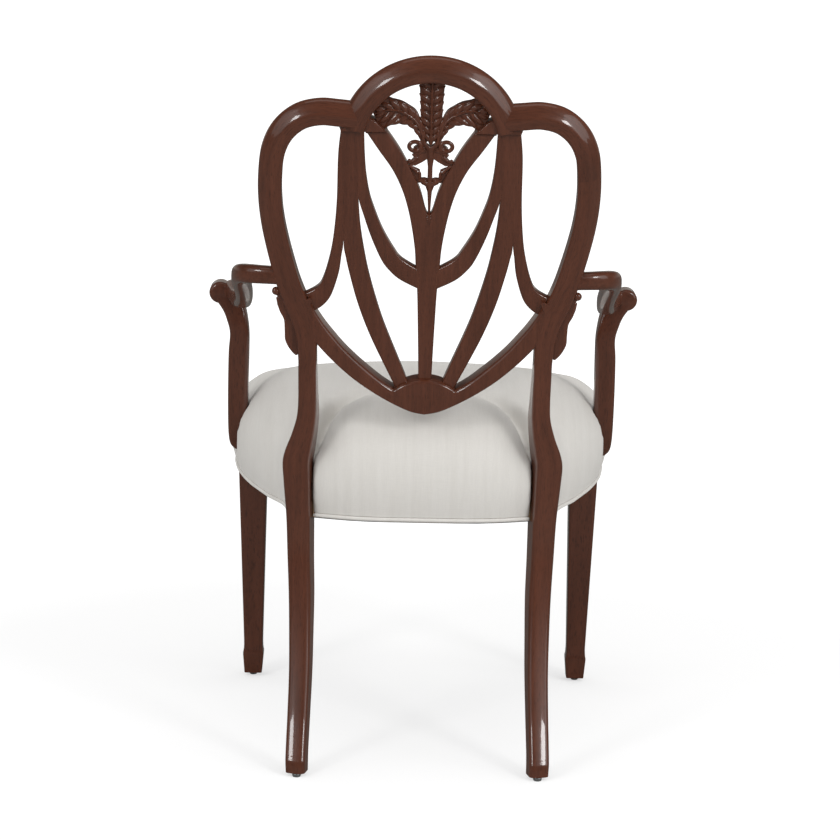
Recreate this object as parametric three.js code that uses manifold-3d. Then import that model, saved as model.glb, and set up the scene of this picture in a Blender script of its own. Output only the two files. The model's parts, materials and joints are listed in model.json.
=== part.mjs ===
// Shield back armchair: a carved mahogany frame with a pierced heart-shaped back,
// sabre rear legs, tapered front legs on spade feet and an over-upholstered seat.
// Millimetres, +Z up. The sitter faces -Y, the sitter's left is +X, and the origin
// is on the floor under the middle of the chair.
import * as THREE from "three";
import { mergeVertices } from "three/addons/utils/BufferGeometryUtils.js";
import Module from "manifold-3d";

const wasm = await Module();
wasm.setup();

// The three overall sizes, and the small ones that every piece shares
const chair = {
  width: 620,
  depth: 618,
  height: 993,
  gap: 0.3, // glue line or clearance between two pieces
  weld: 0.002, // vertices closer than this are one vertex
  overrun: 60, // how far a cutter runs past what it cuts
};
const backLine = chair.depth / 2;

// Where the main pieces lie, in shares of the chair's width, depth and height
const widthShares = {
  shield: 0.371,
  hip: 0.3161,
  leg: 0.4411,
  seat: 0.4452,
  arm: 0.4839,
  support: 0.4355,
  strapPitch: 0.1161,
};
const depthShares = {
  leg: 0.3447,
  seat: 0.4822,
  support: 0.1812,
  strapPitch: 0.1359,
  strapStart: -0.343,
  leanAtTip: 0.3328, // how far the back leans in the chair's height
  leanAtTop: 0.4305,
};
const heightShares = {
  tip: 0.498,
  shield: 0.5116,
  hip: 0.423,
  spade: 0.0363,
  ankle: 0.0504,
  railBottom: 0.3414,
  rail: 0.0645,
  crown: 0.5126,
  armJoint: 0.6918,
  knuckle: 0.6203,
  supportBottom: 0.3817,
  supportTop: 0.614,
};
const leanOf = (share) => Math.atan((share * chair.depth) / chair.height);

// The shield: its face follows a gently leaning arc. In it, u runs to the sitter's
// left, v runs up the face from the lower tip, and w runs forward from the back face.
const shield = {
  halfWidth: chair.width * widthShares.shield,
  height: chair.height * heightShares.shield,
  tipHeight: chair.height * heightShares.tip,
  band: 32.5, // width of the moulded frame
  narrowBand: 26, // its width where it runs into the rear leg
  thick: 30,
  leanAtTip: leanOf(depthShares.leanAtTip),
  leanAtTop: leanOf(depthShares.leanAtTop),
};

// Arch, ribs and boss in shares of the shield's half width and height
const archShares = { across: 0.537, up: 0.2431, centre: 0.7579 };
const arch = {
  across: shield.halfWidth * archShares.across,
  up: shield.height * archShares.up,
  centre: shield.height * archShares.centre,
  end: THREE.MathUtils.degToRad(15.5), // where the arch dies into the shoulders
  openingEnd: THREE.MathUtils.degToRad(22), // where its inner edge meets the webs
};
const seamShare = 0.7992; // seam between the crest rail and the ribs
const splat = {
  thick: 16,
  inset: 8, // ribs lie this far in front of the frame's back face
  chamfer: 0.8,
  top: shield.height * seamShare,
};
const spandrel = { thick: 21, inset: 4.5 };
const hubShares = { span: 0.1826, rise: 0.0295, top: 0.0996 };
const baseRail = {
  chamfer: 2,
  hubSpan: shield.halfWidth * hubShares.span,
  hubRise: shield.height * hubShares.rise,
  hubTop: shield.height * hubShares.top,
};
const ornament = { thick: 12, inset: 9, chamfer: 1.2 };

// Rear legs with the stiles that run up into the shield
const stile = {
  spread: chair.width * widthShares.hip, // outermost reach of the hip under the seat
  width: 38,
  depth: 36,
  hipHeight: chair.height * heightShares.hip,
  turn: THREE.MathUtils.degToRad(13), // the leg is turned in plan, back face outward
};

// Front legs
const frontLeg = {
  outerFace: chair.width * widthShares.leg,
  backFace: chair.depth * depthShares.leg,
  top: 44,
  ankle: 28.5,
  spade: 31.5,
  sole: 26.4,
  spadeHeight: chair.height * heightShares.spade,
  ankleHeight: chair.height * heightShares.ankle,
  lean: 11, // the ankle stands this far inside the leg's top
  chamfer: 1.5,
};

// Seat frame and upholstery
const seat = {
  halfWidth: chair.width * widthShares.seat,
  railBottom: chair.height * heightShares.railBottom,
  railHeight: chair.height * heightShares.rail,
  railThick: 24,
  cover: 3.2, // cloth and wadding over the rails
  foamInset: 12,
  reach: chair.depth * depthShares.seat, // from the chair's middle to the seat's front
  crown: chair.height * heightShares.crown, // highest point of the cushion
  fall: 13, // the crown is this much lower at the sides
  bulge: 11, // how far the cushion swells past its lower edge
  weltRadius: 3,
  weltLift: 1, // from the rails' lower edge up to the welt
};
seat.railTop = seat.railBottom + seat.railHeight;
const webbing = {
  width: 50,
  thick: 2,
  inset: 8,
  pitch: chair.width * widthShares.strapPitch,
  crossPitch: chair.depth * depthShares.strapPitch,
  crossStart: chair.depth * depthShares.strapStart,
};
const strapLetters = ["a", "b", "c", "d"];
const tenonHeightShare = 0.656; // of the rails' height
const tenon = {
  thick: 8,
  height: seat.railHeight * tenonHeightShare,
  reach: 18,
  root: 12,
};
const blockShare = { height: 0.6245, drop: 0.0937 }; // of the rails' height
const block = {
  height: seat.railHeight * blockShare.height,
  drop: seat.railHeight * blockShare.drop,
};
const dustCover = { thick: 1, inset: 7 };
const glide = { radius: 9, thick: 5, nailRadius: 1.3, nailLength: 11, rim: 1.5 };

// Arms, their supports and the carved leaf brackets below them
const arm = {
  height: 27,
  width: 26,
  jointHeight: chair.height * heightShares.armJoint,
  knuckleHeight: chair.height * heightShares.knuckle,
  reach: chair.width * widthShares.arm,
};
const knuckle = { radius: 15.8, length: 42 };
const support = {
  width: 30,
  depth: 34,
  bottom: chair.height * heightShares.supportBottom,
  top: chair.height * heightShares.supportTop,
  centre: chair.width * widthShares.support,
  setBack: chair.depth * depthShares.support,
};
const bracket = { thick: 18, inset: 6, ball: 5.5 };
const dowel = { radius: 5, length: 44 };
const screw = { radius: 2, headRadius: 4.4, headDepth: 2.6, length: 38, inRail: 17 };

// Counts of facets
const facets = { arch: 22, shoulder: 12, stile: 12, step: 2, seat: 24, round: 9, pin: 8, cord: 6, arm: 18 };

// Wood, cloth, jute and steel
const colours = {
  mahogany: { color: 0x5a3429, roughness: 0.35, metalness: 0 },
  beech: { color: 0xb8946a, roughness: 0.7, metalness: 0 },
  cloth: { color: 0xd6d3ce, roughness: 0.8, metalness: 0 },
  foam: { color: 0xe8dfb8, roughness: 0.9, metalness: 0 },
  jute: { color: 0x9a7d52, roughness: 0.9, metalness: 0 },
  cambric: { color: 0x26262a, roughness: 0.9, metalness: 0 },
  steel: { color: 0x8f9296, roughness: 0.4, metalness: 1 },
};

// Solids and their joins and cuts

function signedVolume(position, index) {
  const corners = [new THREE.Vector3(), new THREE.Vector3(), new THREE.Vector3()];
  let sum = 0;
  for (let i = 0; i < index.count; i += corners.length) {
    corners.forEach((corner, k) => corner.fromBufferAttribute(position, index.getX(i + k)));
    sum += corners[0].dot(corners[1].cross(corners[2]));
  }
  return sum;
}

function solid(geometry) {
  const bare = new THREE.BufferGeometry();
  bare.setAttribute("position", geometry.getAttribute("position"));
  if (geometry.index) bare.setIndex(geometry.index);
  const merged = mergeVertices(bare, chair.weld);
  const corners = new Uint32Array(merged.index.array);
  if (signedVolume(merged.getAttribute("position"), merged.index) < 0) corners.reverse();
  return new wasm.Manifold(
    new wasm.Mesh({
      numProp: 3,
      vertProperties: merged.getAttribute("position").array,
      triVerts: corners,
    }),
  );
}

function geometryOf(body) {
  const mesh = body.getMesh();
  const position = new THREE.BufferAttribute(mesh.vertProperties, mesh.numProp);
  const geometry = new THREE.BufferGeometry();
  geometry.setAttribute("position", position);
  geometry.setIndex(new THREE.BufferAttribute(mesh.triVerts, 1));
  geometry.computeVertexNormals();
  return geometry;
}

const join = (...bodies) => bodies.reduce((all, body) => all.add(body));
const cut = (body, ...tools) => tools.reduce((rest, tool) => rest.subtract(tool), body);
const common = (body, tool) => body.intersect(tool);

function mirrored(body) {
  const geometry = geometryOf(body);
  geometry.scale(-1, 1, 1);
  return solid(geometry);
}

// A skin over rings of points, closed by a cap at each end. The cap plan gives the
// section's own flat outline, which every ring follows point by point.
function loft(rings, capPlan) {
  const around = capPlan.length;
  const faces = [];
  rings.slice(1).forEach((ring, row) => {
    capPlan.forEach((point, i) => {
      const a = row * around + i;
      const b = row * around + ((i + 1) % around);
      faces.push(a, b, b + around, a, b + around, a + around);
    });
  });
  const last = (rings.length - 1) * around;
  const turnsLeft = THREE.ShapeUtils.area(capPlan) > 0;
  THREE.ShapeUtils.triangulateShape(capPlan, []).forEach((corners) => {
    const [a, b, c] = turnsLeft ? corners : corners.toReversed();
    faces.push(c, b, a, last + a, last + b, last + c);
  });
  const geometry = new THREE.BufferGeometry().setFromPoints(rings.flat());
  geometry.setIndex(faces);
  return solid(geometry);
}

// A box from its centre and its sizes
function box(centre, size, grow = 0) {
  const geometry = new THREE.BoxGeometry(
    size.x + 2 * grow,
    size.y + 2 * grow,
    size.z + 2 * grow,
  );
  geometry.translate(centre.x, centre.y, centre.z);
  return solid(geometry);
}

// A round pin along a direction; its profile is [radius, distance from the start]
function pin(start, direction, profile, sides = facets.pin) {
  const outline = profile.map(([radius, along]) => new THREE.Vector2(radius, along));
  const geometry = new THREE.LatheGeometry(outline, sides);
  const up = new THREE.Vector3(0, 1, 0);
  const turn = new THREE.Quaternion().setFromUnitVectors(up, direction.clone().normalize());
  geometry.applyQuaternion(turn);
  geometry.translate(start.x, start.y, start.z);
  return solid(geometry);
}

// Outlines

const inShares = (shares, across, along) =>
  shares.map(([a, b]) => new THREE.Vector2(a * across, b * along));
const onShield = (shares) => inShares(shares, shield.halfWidth, shield.height);
const smooth = (points, steps = facets.step) =>
  new THREE.SplineCurve(points).getPoints((points.length - 1) * steps);
const flipped = (points) => points.map((p) => new THREE.Vector2(-p.x, p.y)).reverse();

// Moves each point of a closed outline outward by a distance; a negative one moves it in
function grown(outline, distance) {
  const turnsLeft = THREE.ShapeUtils.area(outline) > 0;
  return outline.map((point, i) => {
    const before = outline[(i + outline.length - 1) % outline.length];
    const after = outline[(i + 1) % outline.length];
    const along = after.clone().sub(before).normalize();
    const outward = new THREE.Vector2(along.y, -along.x);
    return point.clone().addScaledVector(outward, turnsLeft ? distance : -distance);
  });
}

// The face of the shield as a place in the chair
const leanPerLength = (shield.leanAtTop - shield.leanAtTip) / shield.height;
const leanAt = (v) => shield.leanAtTip + leanPerLength * v;
const reachBack = (v) => (Math.cos(shield.leanAtTip) - Math.cos(leanAt(v))) / leanPerLength;
const reachUp = (v) => (Math.sin(leanAt(v)) - Math.sin(shield.leanAtTip)) / leanPerLength;
shield.tipBack = backLine - reachBack(shield.height - shield.band / 2);

function onBack(u, v, w) {
  return new THREE.Vector3(
    u,
    shield.tipBack + reachBack(v) - w * Math.cos(leanAt(v)),
    shield.tipHeight + reachUp(v) + w * Math.sin(leanAt(v)),
  );
}

// A board sawn to an outline of the shield's face, chamfered all round and bent to it
function board(outline, { thick, inset, chamfer = 0 }, grow = 0) {
  const shape = new THREE.Shape(grow ? grown(outline, grow) : outline);
  const deep = thick + 2 * grow;
  const geometry = new THREE.ExtrudeGeometry(shape, {
    depth: deep - 2 * chamfer,
    bevelEnabled: chamfer > 0,
    bevelThickness: chamfer,
    bevelSize: chamfer,
    bevelOffset: -chamfer,
    bevelSegments: 1,
  });
  geometry.translate(0, 0, inset - grow + chamfer);
  const position = geometry.getAttribute("position");
  for (let i = 0; i < position.count; i += 1) {
    const place = onBack(position.getX(i), position.getY(i), position.getZ(i));
    position.setXYZ(i, place.x, place.y, place.z);
  }
  return solid(geometry);
}

// Cuts right through the shield along an outline
const through = (outline, grow = 0) =>
  board(grow ? grown(outline, grow) : outline, {
    thick: shield.thick + 2 * chair.overrun,
    inset: -chair.overrun,
  });

// The shield's moulded frame

// Section of the frame: across from the inner edge, then depth from the back face.
// Flat along the inside, then rolling over to the outer edge.
const mouldedShares = [
  [0, 0.13], [0.04, 0.03], [0.12, 0], [0.3, 0], [0.45, 0.01], [0.6, 0.08], [0.77, 0.245],
  [0.95, 0.46], [1, 0.66], [0.97, 0.82], [0.84, 0.95], [0.6, 1], [0.3, 1], [0.08, 0.99],
  [0, 0.9],
];
const plainShares = [
  [0, 0.12], [0.03, 0.02], [0.1, 0], [0.3, 0], [0.45, 0], [0.6, 0], [0.8, 0],
  [0.96, 0.02], [1, 0.14], [1, 0.72], [0.96, 0.98], [0.6, 1], [0.3, 1], [0.08, 1],
  [0, 0.9],
];
const sectionPlan = inShares(mouldedShares, 1, 1);

function section(moulded) {
  return mouldedShares.map(([across, deep], i) => [
    THREE.MathUtils.lerp(plainShares[i][0], across, moulded),
    THREE.MathUtils.lerp(plainShares[i][1], deep, moulded),
  ]);
}

// Outer edge of one side, from inside the arch over the shoulder and down the stile
const sideEdgeShares = [
  [0.417, 0.872], [0.53, 0.877], [0.635, 0.88], [0.743, 0.871], [0.826, 0.852],
  [0.9, 0.821], [0.954, 0.781], [0.987, 0.73], [1, 0.654], [0.996, 0.589],
  [0.98, 0.531], [0.954, 0.474], [0.922, 0.417], [0.887, 0.362], [0.852, 0.319],
  [0.817, 0.283], [0.787, 0.246], [0.766, 0.205], [0.757, 0.157],
];
const crestJointShare = 0.42; // of the side edge's own length
const sideEdge = new THREE.SplineCurve(onShield(sideEdgeShares));
const sideGapShare = chair.gap / sideEdge.getLength() / 2;

// The frame's width narrows from the shield's band to the stile's below it
const narrowFromShare = 0.27;
const narrowToShare = 0.155;
const mouldFromShare = 0.62; // above this height the roll is full
const mouldToShare = 0.26; // below this one the section is plain
const bandWidth = (v) => {
  const full = THREE.MathUtils.smoothstep(
    v / shield.height,
    narrowToShare,
    narrowFromShare,
  );
  return THREE.MathUtils.lerp(shield.narrowBand, shield.band, full);
};

function edgeFrame(share) {
  const outer = sideEdge.getPointAt(share);
  const along = sideEdge.getTangentAt(share);
  return { outer, inward: new THREE.Vector2(along.y, -along.x) };
}

function bandRing(outer, inward, width, moulded) {
  return section(moulded).map(([across, deep]) => {
    const place = outer.clone().addScaledVector(inward, width * (1 - across));
    return onBack(place.x, place.y, deep * shield.thick);
  });
}

function sideRing(share) {
  const { outer, inward } = edgeFrame(share);
  const fullMould = THREE.MathUtils.smoothstep(
    outer.y / shield.height,
    mouldToShare,
    mouldFromShare,
  );
  return bandRing(outer, inward, bandWidth(outer.y), fullMould);
}

const steps = (count) => Array.from({ length: count + 1 }, (unused, i) => i / count);

function shoulder() {
  const end = crestJointShare - sideGapShare;
  return loft(steps(facets.shoulder).map((t) => sideRing(end * t)), sectionPlan);
}

function archPoint(angle, inset = 0) {
  return new THREE.Vector2(
    (arch.across - inset) * Math.cos(angle),
    arch.centre + (arch.up - inset) * Math.sin(angle),
  );
}

function archBand() {
  const rings = steps(facets.arch).map((t) => {
    const angle = THREE.MathUtils.lerp(arch.end, Math.PI - arch.end, t);
    const outward = new THREE.Vector2(Math.cos(angle), Math.sin(angle));
    const outer = archPoint(angle);
    return bandRing(outer, outward.negate(), shield.band, 1);
  });
  return loft(rings, sectionPlan);
}

// Flat webs between the arch and the shoulders, where the ribs meet the crest rail
const spandrelShares = [
  [0.53, 0.812], [0.52, 0.799], [0.252, 0.799], [0.285, 0.806], [0.33, 0.815],
  [0.385, 0.828], [0.43, 0.845], [0.49, 0.84],
];

function crestRail() {
  const left = join(shoulder(), board(onShield(spandrelShares), spandrel));
  return join(left, mirrored(left), archBand());
}

// The stile's own ground on the shield's face, for what is fitted against it
const stileShares = steps(facets.stile).map((t) =>
  THREE.MathUtils.lerp(crestJointShare + sideGapShare, 1, t),
);
const stileGround = stileShares
  .map((share) => edgeFrame(share).outer)
  .concat(
    stileShares.toReversed().map((share) => {
      const { outer, inward } = edgeFrame(share);
      return outer.clone().addScaledVector(inward, bandWidth(outer.y));
    }),
  );
const besideStile = through(stileGround, chair.gap);
const besideStiles = join(besideStile, mirrored(besideStile));

// Rear leg and stile in one piece

// Stations below the shield: height as a share of the hip's height, then the outer
// face, the width, the back face from the chair's back line, the depth and the turn.
const stileStationShares = [
  [1.307, 0.889, 0.66, 0.666, 0.83, 0.3],
  [1.223, 0.889, 0.67, 0.643, 0.86, 0.5],
  [1.163, 0.899, 0.71, 0.625, 0.89, 0.75],
  [1.103, 0.934, 0.82, 0.609, 0.94, 0.9],
  [1.043, 0.982, 0.97, 0.593, 0.99, 1],
  [1, 1, 1, 0.583, 1, 1],
  [0.935, 0.992, 0.98, 0.572, 1, 1],
  [0.808, 0.967, 0.87, 0.561, 1, 1],
  [0.679, 0.949, 0.79, 0.574, 0.95, 1],
  [0.552, 0.932, 0.74, 0.611, 0.88, 1],
  [0.432, 0.921, 0.69, 0.662, 0.81, 1],
  [0.312, 0.915, 0.66, 0.727, 0.76, 1],
  [0.187, 0.919, 0.64, 0.804, 0.73, 1],
  [0.065, 0.925, 0.64, 0.897, 0.71, 1],
];

function legRing([height, outer, width, back, deep, turned], grow = 0) {
  const turn = turned * stile.turn;
  const wide = width * stile.width;
  const wideAll = wide + 2 * grow;
  const deepAll = deep * stile.depth + 2 * grow;
  const across = new THREE.Vector3(Math.cos(turn), -Math.sin(turn), 0);
  const forward = new THREE.Vector3(-Math.sin(turn), -Math.cos(turn), 0);
  const middle = new THREE.Vector3(
    outer * stile.spread,
    back * backLine,
    Math.max(height * stile.hipHeight, glide.thick),
  );
  middle.x -= (wide / 2) * Math.cos(turn);
  return section(0).map(([side, depth]) =>
    middle
      .clone()
      .addScaledVector(across, (side - 1 / 2) * wideAll)
      .addScaledVector(forward, depth * deepAll - grow),
  );
}

const soleShares = [0, 0.921, 0.61, 0.945, 0.69, 1];
const legRings = (grow = 0) =>
  [...stileStationShares, soleShares].map((station) => legRing(station, grow));

function rearStile() {
  return loft([...stileShares.map(sideRing), ...legRings()], sectionPlan);
}

// Lower rail of the shield with its half-round boss
const baseOuterShares = [
  [0, 0], [0.09, 0.009], [0.209, 0.035], [0.328, 0.068], [0.446, 0.108],
  [0.565, 0.159], [0.678, 0.217],
];
const baseInnerShares = [
  [0.268, 0.096], [0.386, 0.142], [0.504, 0.194], [0.622, 0.249], [0.7, 0.291],
];

function hubArc() {
  const radius = (baseRail.hubSpan ** 2 + baseRail.hubRise ** 2) / (2 * baseRail.hubRise);
  const sweep = Math.asin(baseRail.hubSpan / radius);
  return steps(facets.round).map((t) => {
    const angle = sweep * (1 - t);
    return new THREE.Vector2(
      radius * Math.sin(angle),
      baseRail.hubTop - radius + radius * Math.cos(angle),
    );
  });
}

const baseHalf = [
  ...smooth(onShield(baseOuterShares)),
  ...smooth([hubArc()[0], ...onShield(baseInnerShares)]).reverse(),
  ...hubArc().slice(1),
];
const baseOutline = [...baseHalf, ...flipped(baseHalf.slice(1, -1))];
const besideBase = through(baseOutline, chair.gap);

function shieldBase() {
  const sawn = board(baseOutline, { ...baseRail, thick: shield.thick, inset: 0 });
  return cut(sawn, besideStiles);
}

// Ribs and swags of the splat

// Seams that two neighbouring ribs share
const seamTop = seamShare;
const swagSeamShares = [[0.483, seamTop], [0.487, 0.634], [0.493, 0.484]];
const innerSeamShares = [[0.43, seamTop], [0.424, 0.689], [0.415, 0.618]];
const longOuterShares = [
  ...swagSeamShares, [0.48, 0.437], [0.451, 0.383], [0.416, 0.325], [0.373, 0.268],
  [0.321, 0.21], [0.261, 0.152], [0.165, 0.067],
];
const longInnerShares = [
  ...innerSeamShares, [0.398, 0.528], [0.365, 0.44], [0.336, 0.383], [0.3, 0.325],
  [0.26, 0.268], [0.211, 0.21], [0.159, 0.152], [0.07, 0.067],
];
const innerSwagOuterShares = [
  ...innerSeamShares, [0.374, 0.553], [0.33, 0.496], [0.275, 0.44], [0.23, 0.411],
  [0.161, 0.383], [0.04, 0.355],
];
const innerSwagInnerShares = [
  [0.386, seamTop], [0.38, 0.732], [0.37, 0.679], [0.35, 0.626], [0.324, 0.587],
  [0.27, 0.525], [0.2, 0.469], [0.15, 0.44], [0.04, 0.41],
];
const outerSwagOuterShares = [
  [0.52, seamTop], [0.535, 0.728], [0.539, 0.61], [0.551, 0.524], [0.572, 0.454],
  [0.611, 0.386], [0.652, 0.356], [0.76, 0.329],
];
const outerSwagInnerShares = [
  ...swagSeamShares, [0.508, 0.44], [0.529, 0.383], [0.583, 0.323], [0.641, 0.293],
  [0.71, 0.262],
];
const splatOuterShares = [
  [0.378, seamTop], [0.303, 0.748], [0.219, 0.693], [0.16, 0.637], [0.122, 0.581],
  [0.096, 0.524], [0.078, 0.468], [0.07, 0.413], [0.059, 0.354], [0.049, 0.239],
  [0.041, 0.123], [0.041, 0.06],
];
const veeShares = [
  [0, 0.567], [0.02, 0.581], [0.055, 0.637], [0.107, 0.689], [0.176, 0.748],
  [0.252, seamTop],
];
const belowCrest = through(
  [
    new THREE.Vector2(-shield.halfWidth, splat.top - chair.gap),
    new THREE.Vector2(shield.halfWidth, splat.top - chair.gap),
    new THREE.Vector2(shield.halfWidth, shield.height),
    new THREE.Vector2(-shield.halfWidth, shield.height),
  ],
);

const ribOutline = (outerShares, innerShares) => [
  ...smooth(onShield(outerShares)),
  ...smooth(onShield(innerShares)).reverse(),
];
const longRibOutline = ribOutline(longOuterShares, longInnerShares);
const besideLongRib = through(longRibOutline, chair.gap);
const swag = (outerShares, innerShares) =>
  cut(board(ribOutline(outerShares, innerShares), splat), besideLongRib, belowCrest);

const splatEdge = smooth(onShield(splatOuterShares));
const veeEdge = smooth(onShield(veeShares));
const splatHalf = [...veeEdge, ...splatEdge];
const splatOutline = [...splatHalf, ...flipped(splatHalf.slice(1))];
const besideSplat = through(splatOutline, chair.gap);

const centreSplat = () => cut(board(splatOutline, splat), besideBase, belowCrest);
const longRib = () => cut(board(longRibOutline, splat), besideBase, besideSplat, belowCrest);
const innerSwag = () => cut(swag(innerSwagOuterShares, innerSwagInnerShares), besideSplat);
const outerSwag = () => cut(swag(outerSwagOuterShares, outerSwagInnerShares), besideStiles);

// Carved plumes, ribbon bow and husk inside the arch and the vee

// The opening that the carving fills: the vee, the spandrels' edges and the arch
const archOpening = steps(facets.arch).map((t) => {
  const angle = THREE.MathUtils.lerp(arch.openingEnd, Math.PI - arch.openingEnd, t);
  return archPoint(angle, shield.band);
});
const openingSideShares = [[0.285, 0.806], [0.33, 0.815]];
const openingHalf = [...veeEdge, ...onShield(openingSideShares)];
const opening = [
  ...openingHalf,
  ...archOpening,
  ...flipped(openingHalf.slice(1)),
];
const insideOpening = through(opening, -chair.gap);

// A feather: its edge on one side of the spine, with a notch between every two barbs
const plumeTopShare = 0.94;
const plumeRootShares = [[0.01, 0.757], [0.03, 0.775]];
const plumeEdgeShares = [
  [0.05, 0.8], [0.072, 0.822], [0.064, 0.828], [0.083, 0.85], [0.073, 0.857],
  [0.086, 0.88], [0.076, 0.887], [0.083, 0.908], [0.073, 0.914], [0.08, plumeTopShare],
];
const plumeHalf = onShield([...plumeRootShares, ...plumeEdgeShares]);
const plumeOutline = [...plumeHalf, ...flipped(plumeHalf)];

// The side feather bends outward from the same root and its tip curls down
const sidePlumeUpperShares = [
  [0.02, 0.757], [0.05, 0.8], [0.075, 0.834], [0.122, 0.86], [0.183, 0.872],
  [0.25, 0.881], [0.3, 0.874], [0.37, 0.862],
];
const sidePlumeLowerShares = [
  [0.37, 0.846], [0.31, 0.83], [0.268, 0.808], [0.25, 0.795], [0.217, 0.812], [0.178, 0.823],
  [0.139, 0.823], [0.104, 0.812], [0.08, 0.794], [0.062, 0.77], [0.045, 0.757],
];
const sidePlumeOutline = [
  ...smooth(onShield(sidePlumeUpperShares), 2),
  ...smooth(onShield(sidePlumeLowerShares), 2),
];

const plumeCentre = () => common(board(plumeOutline, ornament), insideOpening);
const plumeSide = () =>
  cut(
    common(board(sidePlumeOutline, ornament), insideOpening),
    through(plumeOutline, chair.gap),
  );

// The bow: two loops with an eye each, a knot, two tails to the vee and a stem
const bowShares = {
  loopHalfWidth: 0.0478,
  loopHalfHeight: 0.0169,
  loopAcross: 0.0891,
  loopUp: 0.7559,
  eyeHalfWidth: 0.0226,
  eyeHalfHeight: 0.0059,
};
const bow = { thick: 10, inset: 10 };
const bowBodyShares = [
  [0, 0.757], [0.05, 0.762], [0.09, 0.755], [0.092, 0.735], [0.07, 0.722],
  [0.092, 0.708], [0.124, 0.702], [0.12, 0.69], [0.06, 0.688], [0.035, 0.7],
  [0.014, 0.7], [0.012, 0.655], [0, 0.655],
];

function ellipse(acrossShare, upShare) {
  const outline = new THREE.EllipseCurve(
    bowShares.loopAcross * shield.halfWidth,
    bowShares.loopUp * shield.height,
    acrossShare * shield.halfWidth,
    upShare * shield.height,
  );
  return outline.getPoints(facets.round).slice(1);
}

const bowBody = onShield(bowBodyShares);
const bowOutline = [...bowBody.slice(1, -1), bowBody.at(-1), ...flipped(bowBody.slice(1, -1))];
bowOutline.push(bowBody[0]);

function ribbonBow() {
  const loop = board(ellipse(bowShares.loopHalfWidth, bowShares.loopHalfHeight), bow);
  const eye = through(ellipse(bowShares.eyeHalfWidth, bowShares.eyeHalfHeight));
  const tied = join(board(bowOutline, bow), loop, mirrored(loop));
  return cut(
    common(cut(tied, eye, mirrored(eye)), insideOpening),
    through(plumeOutline, chair.gap),
    through(sidePlumeOutline, chair.gap),
    through(flipped(sidePlumeOutline), chair.gap),
  );
}

// The husk: a pair of small leaves across the vee and a tapered stem down to its point
const huskShares = [
  [0, 0.654], [0.02, 0.665], [0.05, 0.66], [0.08, 0.662], [0.07, 0.645],
  [0.045, 0.64], [0.025, 0.63], [0.012, 0.61], [0.006, 0.57], [0.006, 0.56],
];
const huskHalf = onShield(huskShares).toReversed();
const huskOutline = [...huskHalf, ...flipped(huskHalf.slice(0, -1))];
const huskDrop = () =>
  cut(common(board(huskOutline, bow), insideOpening), through(bowOutline, chair.gap));

// Leaf bracket on the outer edge of the stile, under the arm
const bracketShares = [
  [0.86, 0.345], [0.895, 0.343], [0.88, 0.328], [0.884, 0.313], [0.868, 0.288],
  [0.843, 0.262], [0.838, 0.23], [0.834, 0.204], [0.802, 0.176], [0.762, 0.162],
  [0.74, 0.17], [0.76, 0.24], [0.8, 0.3],
];
const bracketBallShare = [0.898, 0.342];

function leafBracket() {
  const [ballAcross, ballUp] = bracketBallShare;
  const centre = new THREE.Vector2(ballAcross * shield.halfWidth, ballUp * shield.height);
  const disc = new THREE.EllipseCurve(centre.x, centre.y, bracket.ball, bracket.ball);
  const ball = board(disc.getPoints(facets.round).slice(1), bracket);
  const leaf = board(onShield(bracketShares), { ...bracket, chamfer: ornament.chamfer });
  return cut(join(leaf, ball), besideStile, armRoom);
}

// Sections that sweep through the air: rings with their own width, height and axes
const roundedShares = [
  [-0.5, -0.25], [-0.42, -0.42], [-0.22, -0.5], [0.22, -0.5], [0.42, -0.42], [0.5, -0.25],
  [0.5, 0.22], [0.4, 0.42], [0.2, 0.5], [-0.2, 0.5], [-0.4, 0.42], [-0.5, 0.22],
];
const roundedPlan = inShares(roundedShares, 1, 1);

const roundedRing = (centre, across, up, width, height) =>
  roundedShares.map(([a, b]) =>
    centre
      .clone()
      .addScaledVector(across, a * width)
      .addScaledVector(up, b * height),
  );

// Arm: out of the shield, round the elbow, down and forward to the scrolled knuckle.
// Stations: sideways, back and height in shares of the reach, the back line and the
// drop from the joint to the knuckle, then the width and the height of the section.
const armStationShares = [
  [0.62, 0.722, 0.02, 1, 0.9],
  [0.74, 0.706, 0.03, 1, 0.92],
  [0.806, 0.671, 0.02, 1, 0.96],
  [0.845, 0.6, -0.03, 0.96, 1],
  [0.855, 0.5, -0.18, 0.96, 1],
  [0.85, 0.354, -0.43, 0.96, 1],
  [0.852, 0.193, -0.68, 0.98, 1],
  [0.866, 0.032, -0.89, 1.02, 1],
  [0.882, -0.1, -0.97, 1.06, 1.02],
  [0.898, -0.2, -0.97, 1.12, 1.04],
  [0.912, -0.28, -0.96, 1.16, 1.04],
  [0.924, -0.36, -0.95, 1.12, 1],
  [0.928, -0.41, -0.95, 0.8, 0.72],
];
const upward = new THREE.Vector3(0, 0, 1);

function armSolid(grow = 0) {
  const drop = arm.jointHeight - arm.knuckleHeight;
  const path = new THREE.CatmullRomCurve3(
    armStationShares.map(
      ([side, back, fall]) =>
        new THREE.Vector3(side * arm.reach, back * backLine, arm.jointHeight + fall * drop),
    ),
  );
  const count = armStationShares.length - 1;
  const rings = steps(facets.arm).map((t) => {
    const along = path.getTangent(t);
    const across = new THREE.Vector3().crossVectors(along, upward).normalize();
    const up = new THREE.Vector3().crossVectors(across, along).normalize();
    const low = Math.floor(t * count);
    const high = Math.ceil(t * count);
    const size = (column) =>
      THREE.MathUtils.lerp(
        armStationShares[low][column],
        armStationShares[high][column],
        t * count - low,
      );
    const width = size(3) * arm.width + 2 * grow;
    const height = size(4) * arm.height + 2 * grow;
    return roundedRing(path.getPoint(t), across, up, width, height);
  });
  return join(loft(rings, roundedPlan), knuckleSolid(grow));
}

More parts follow.
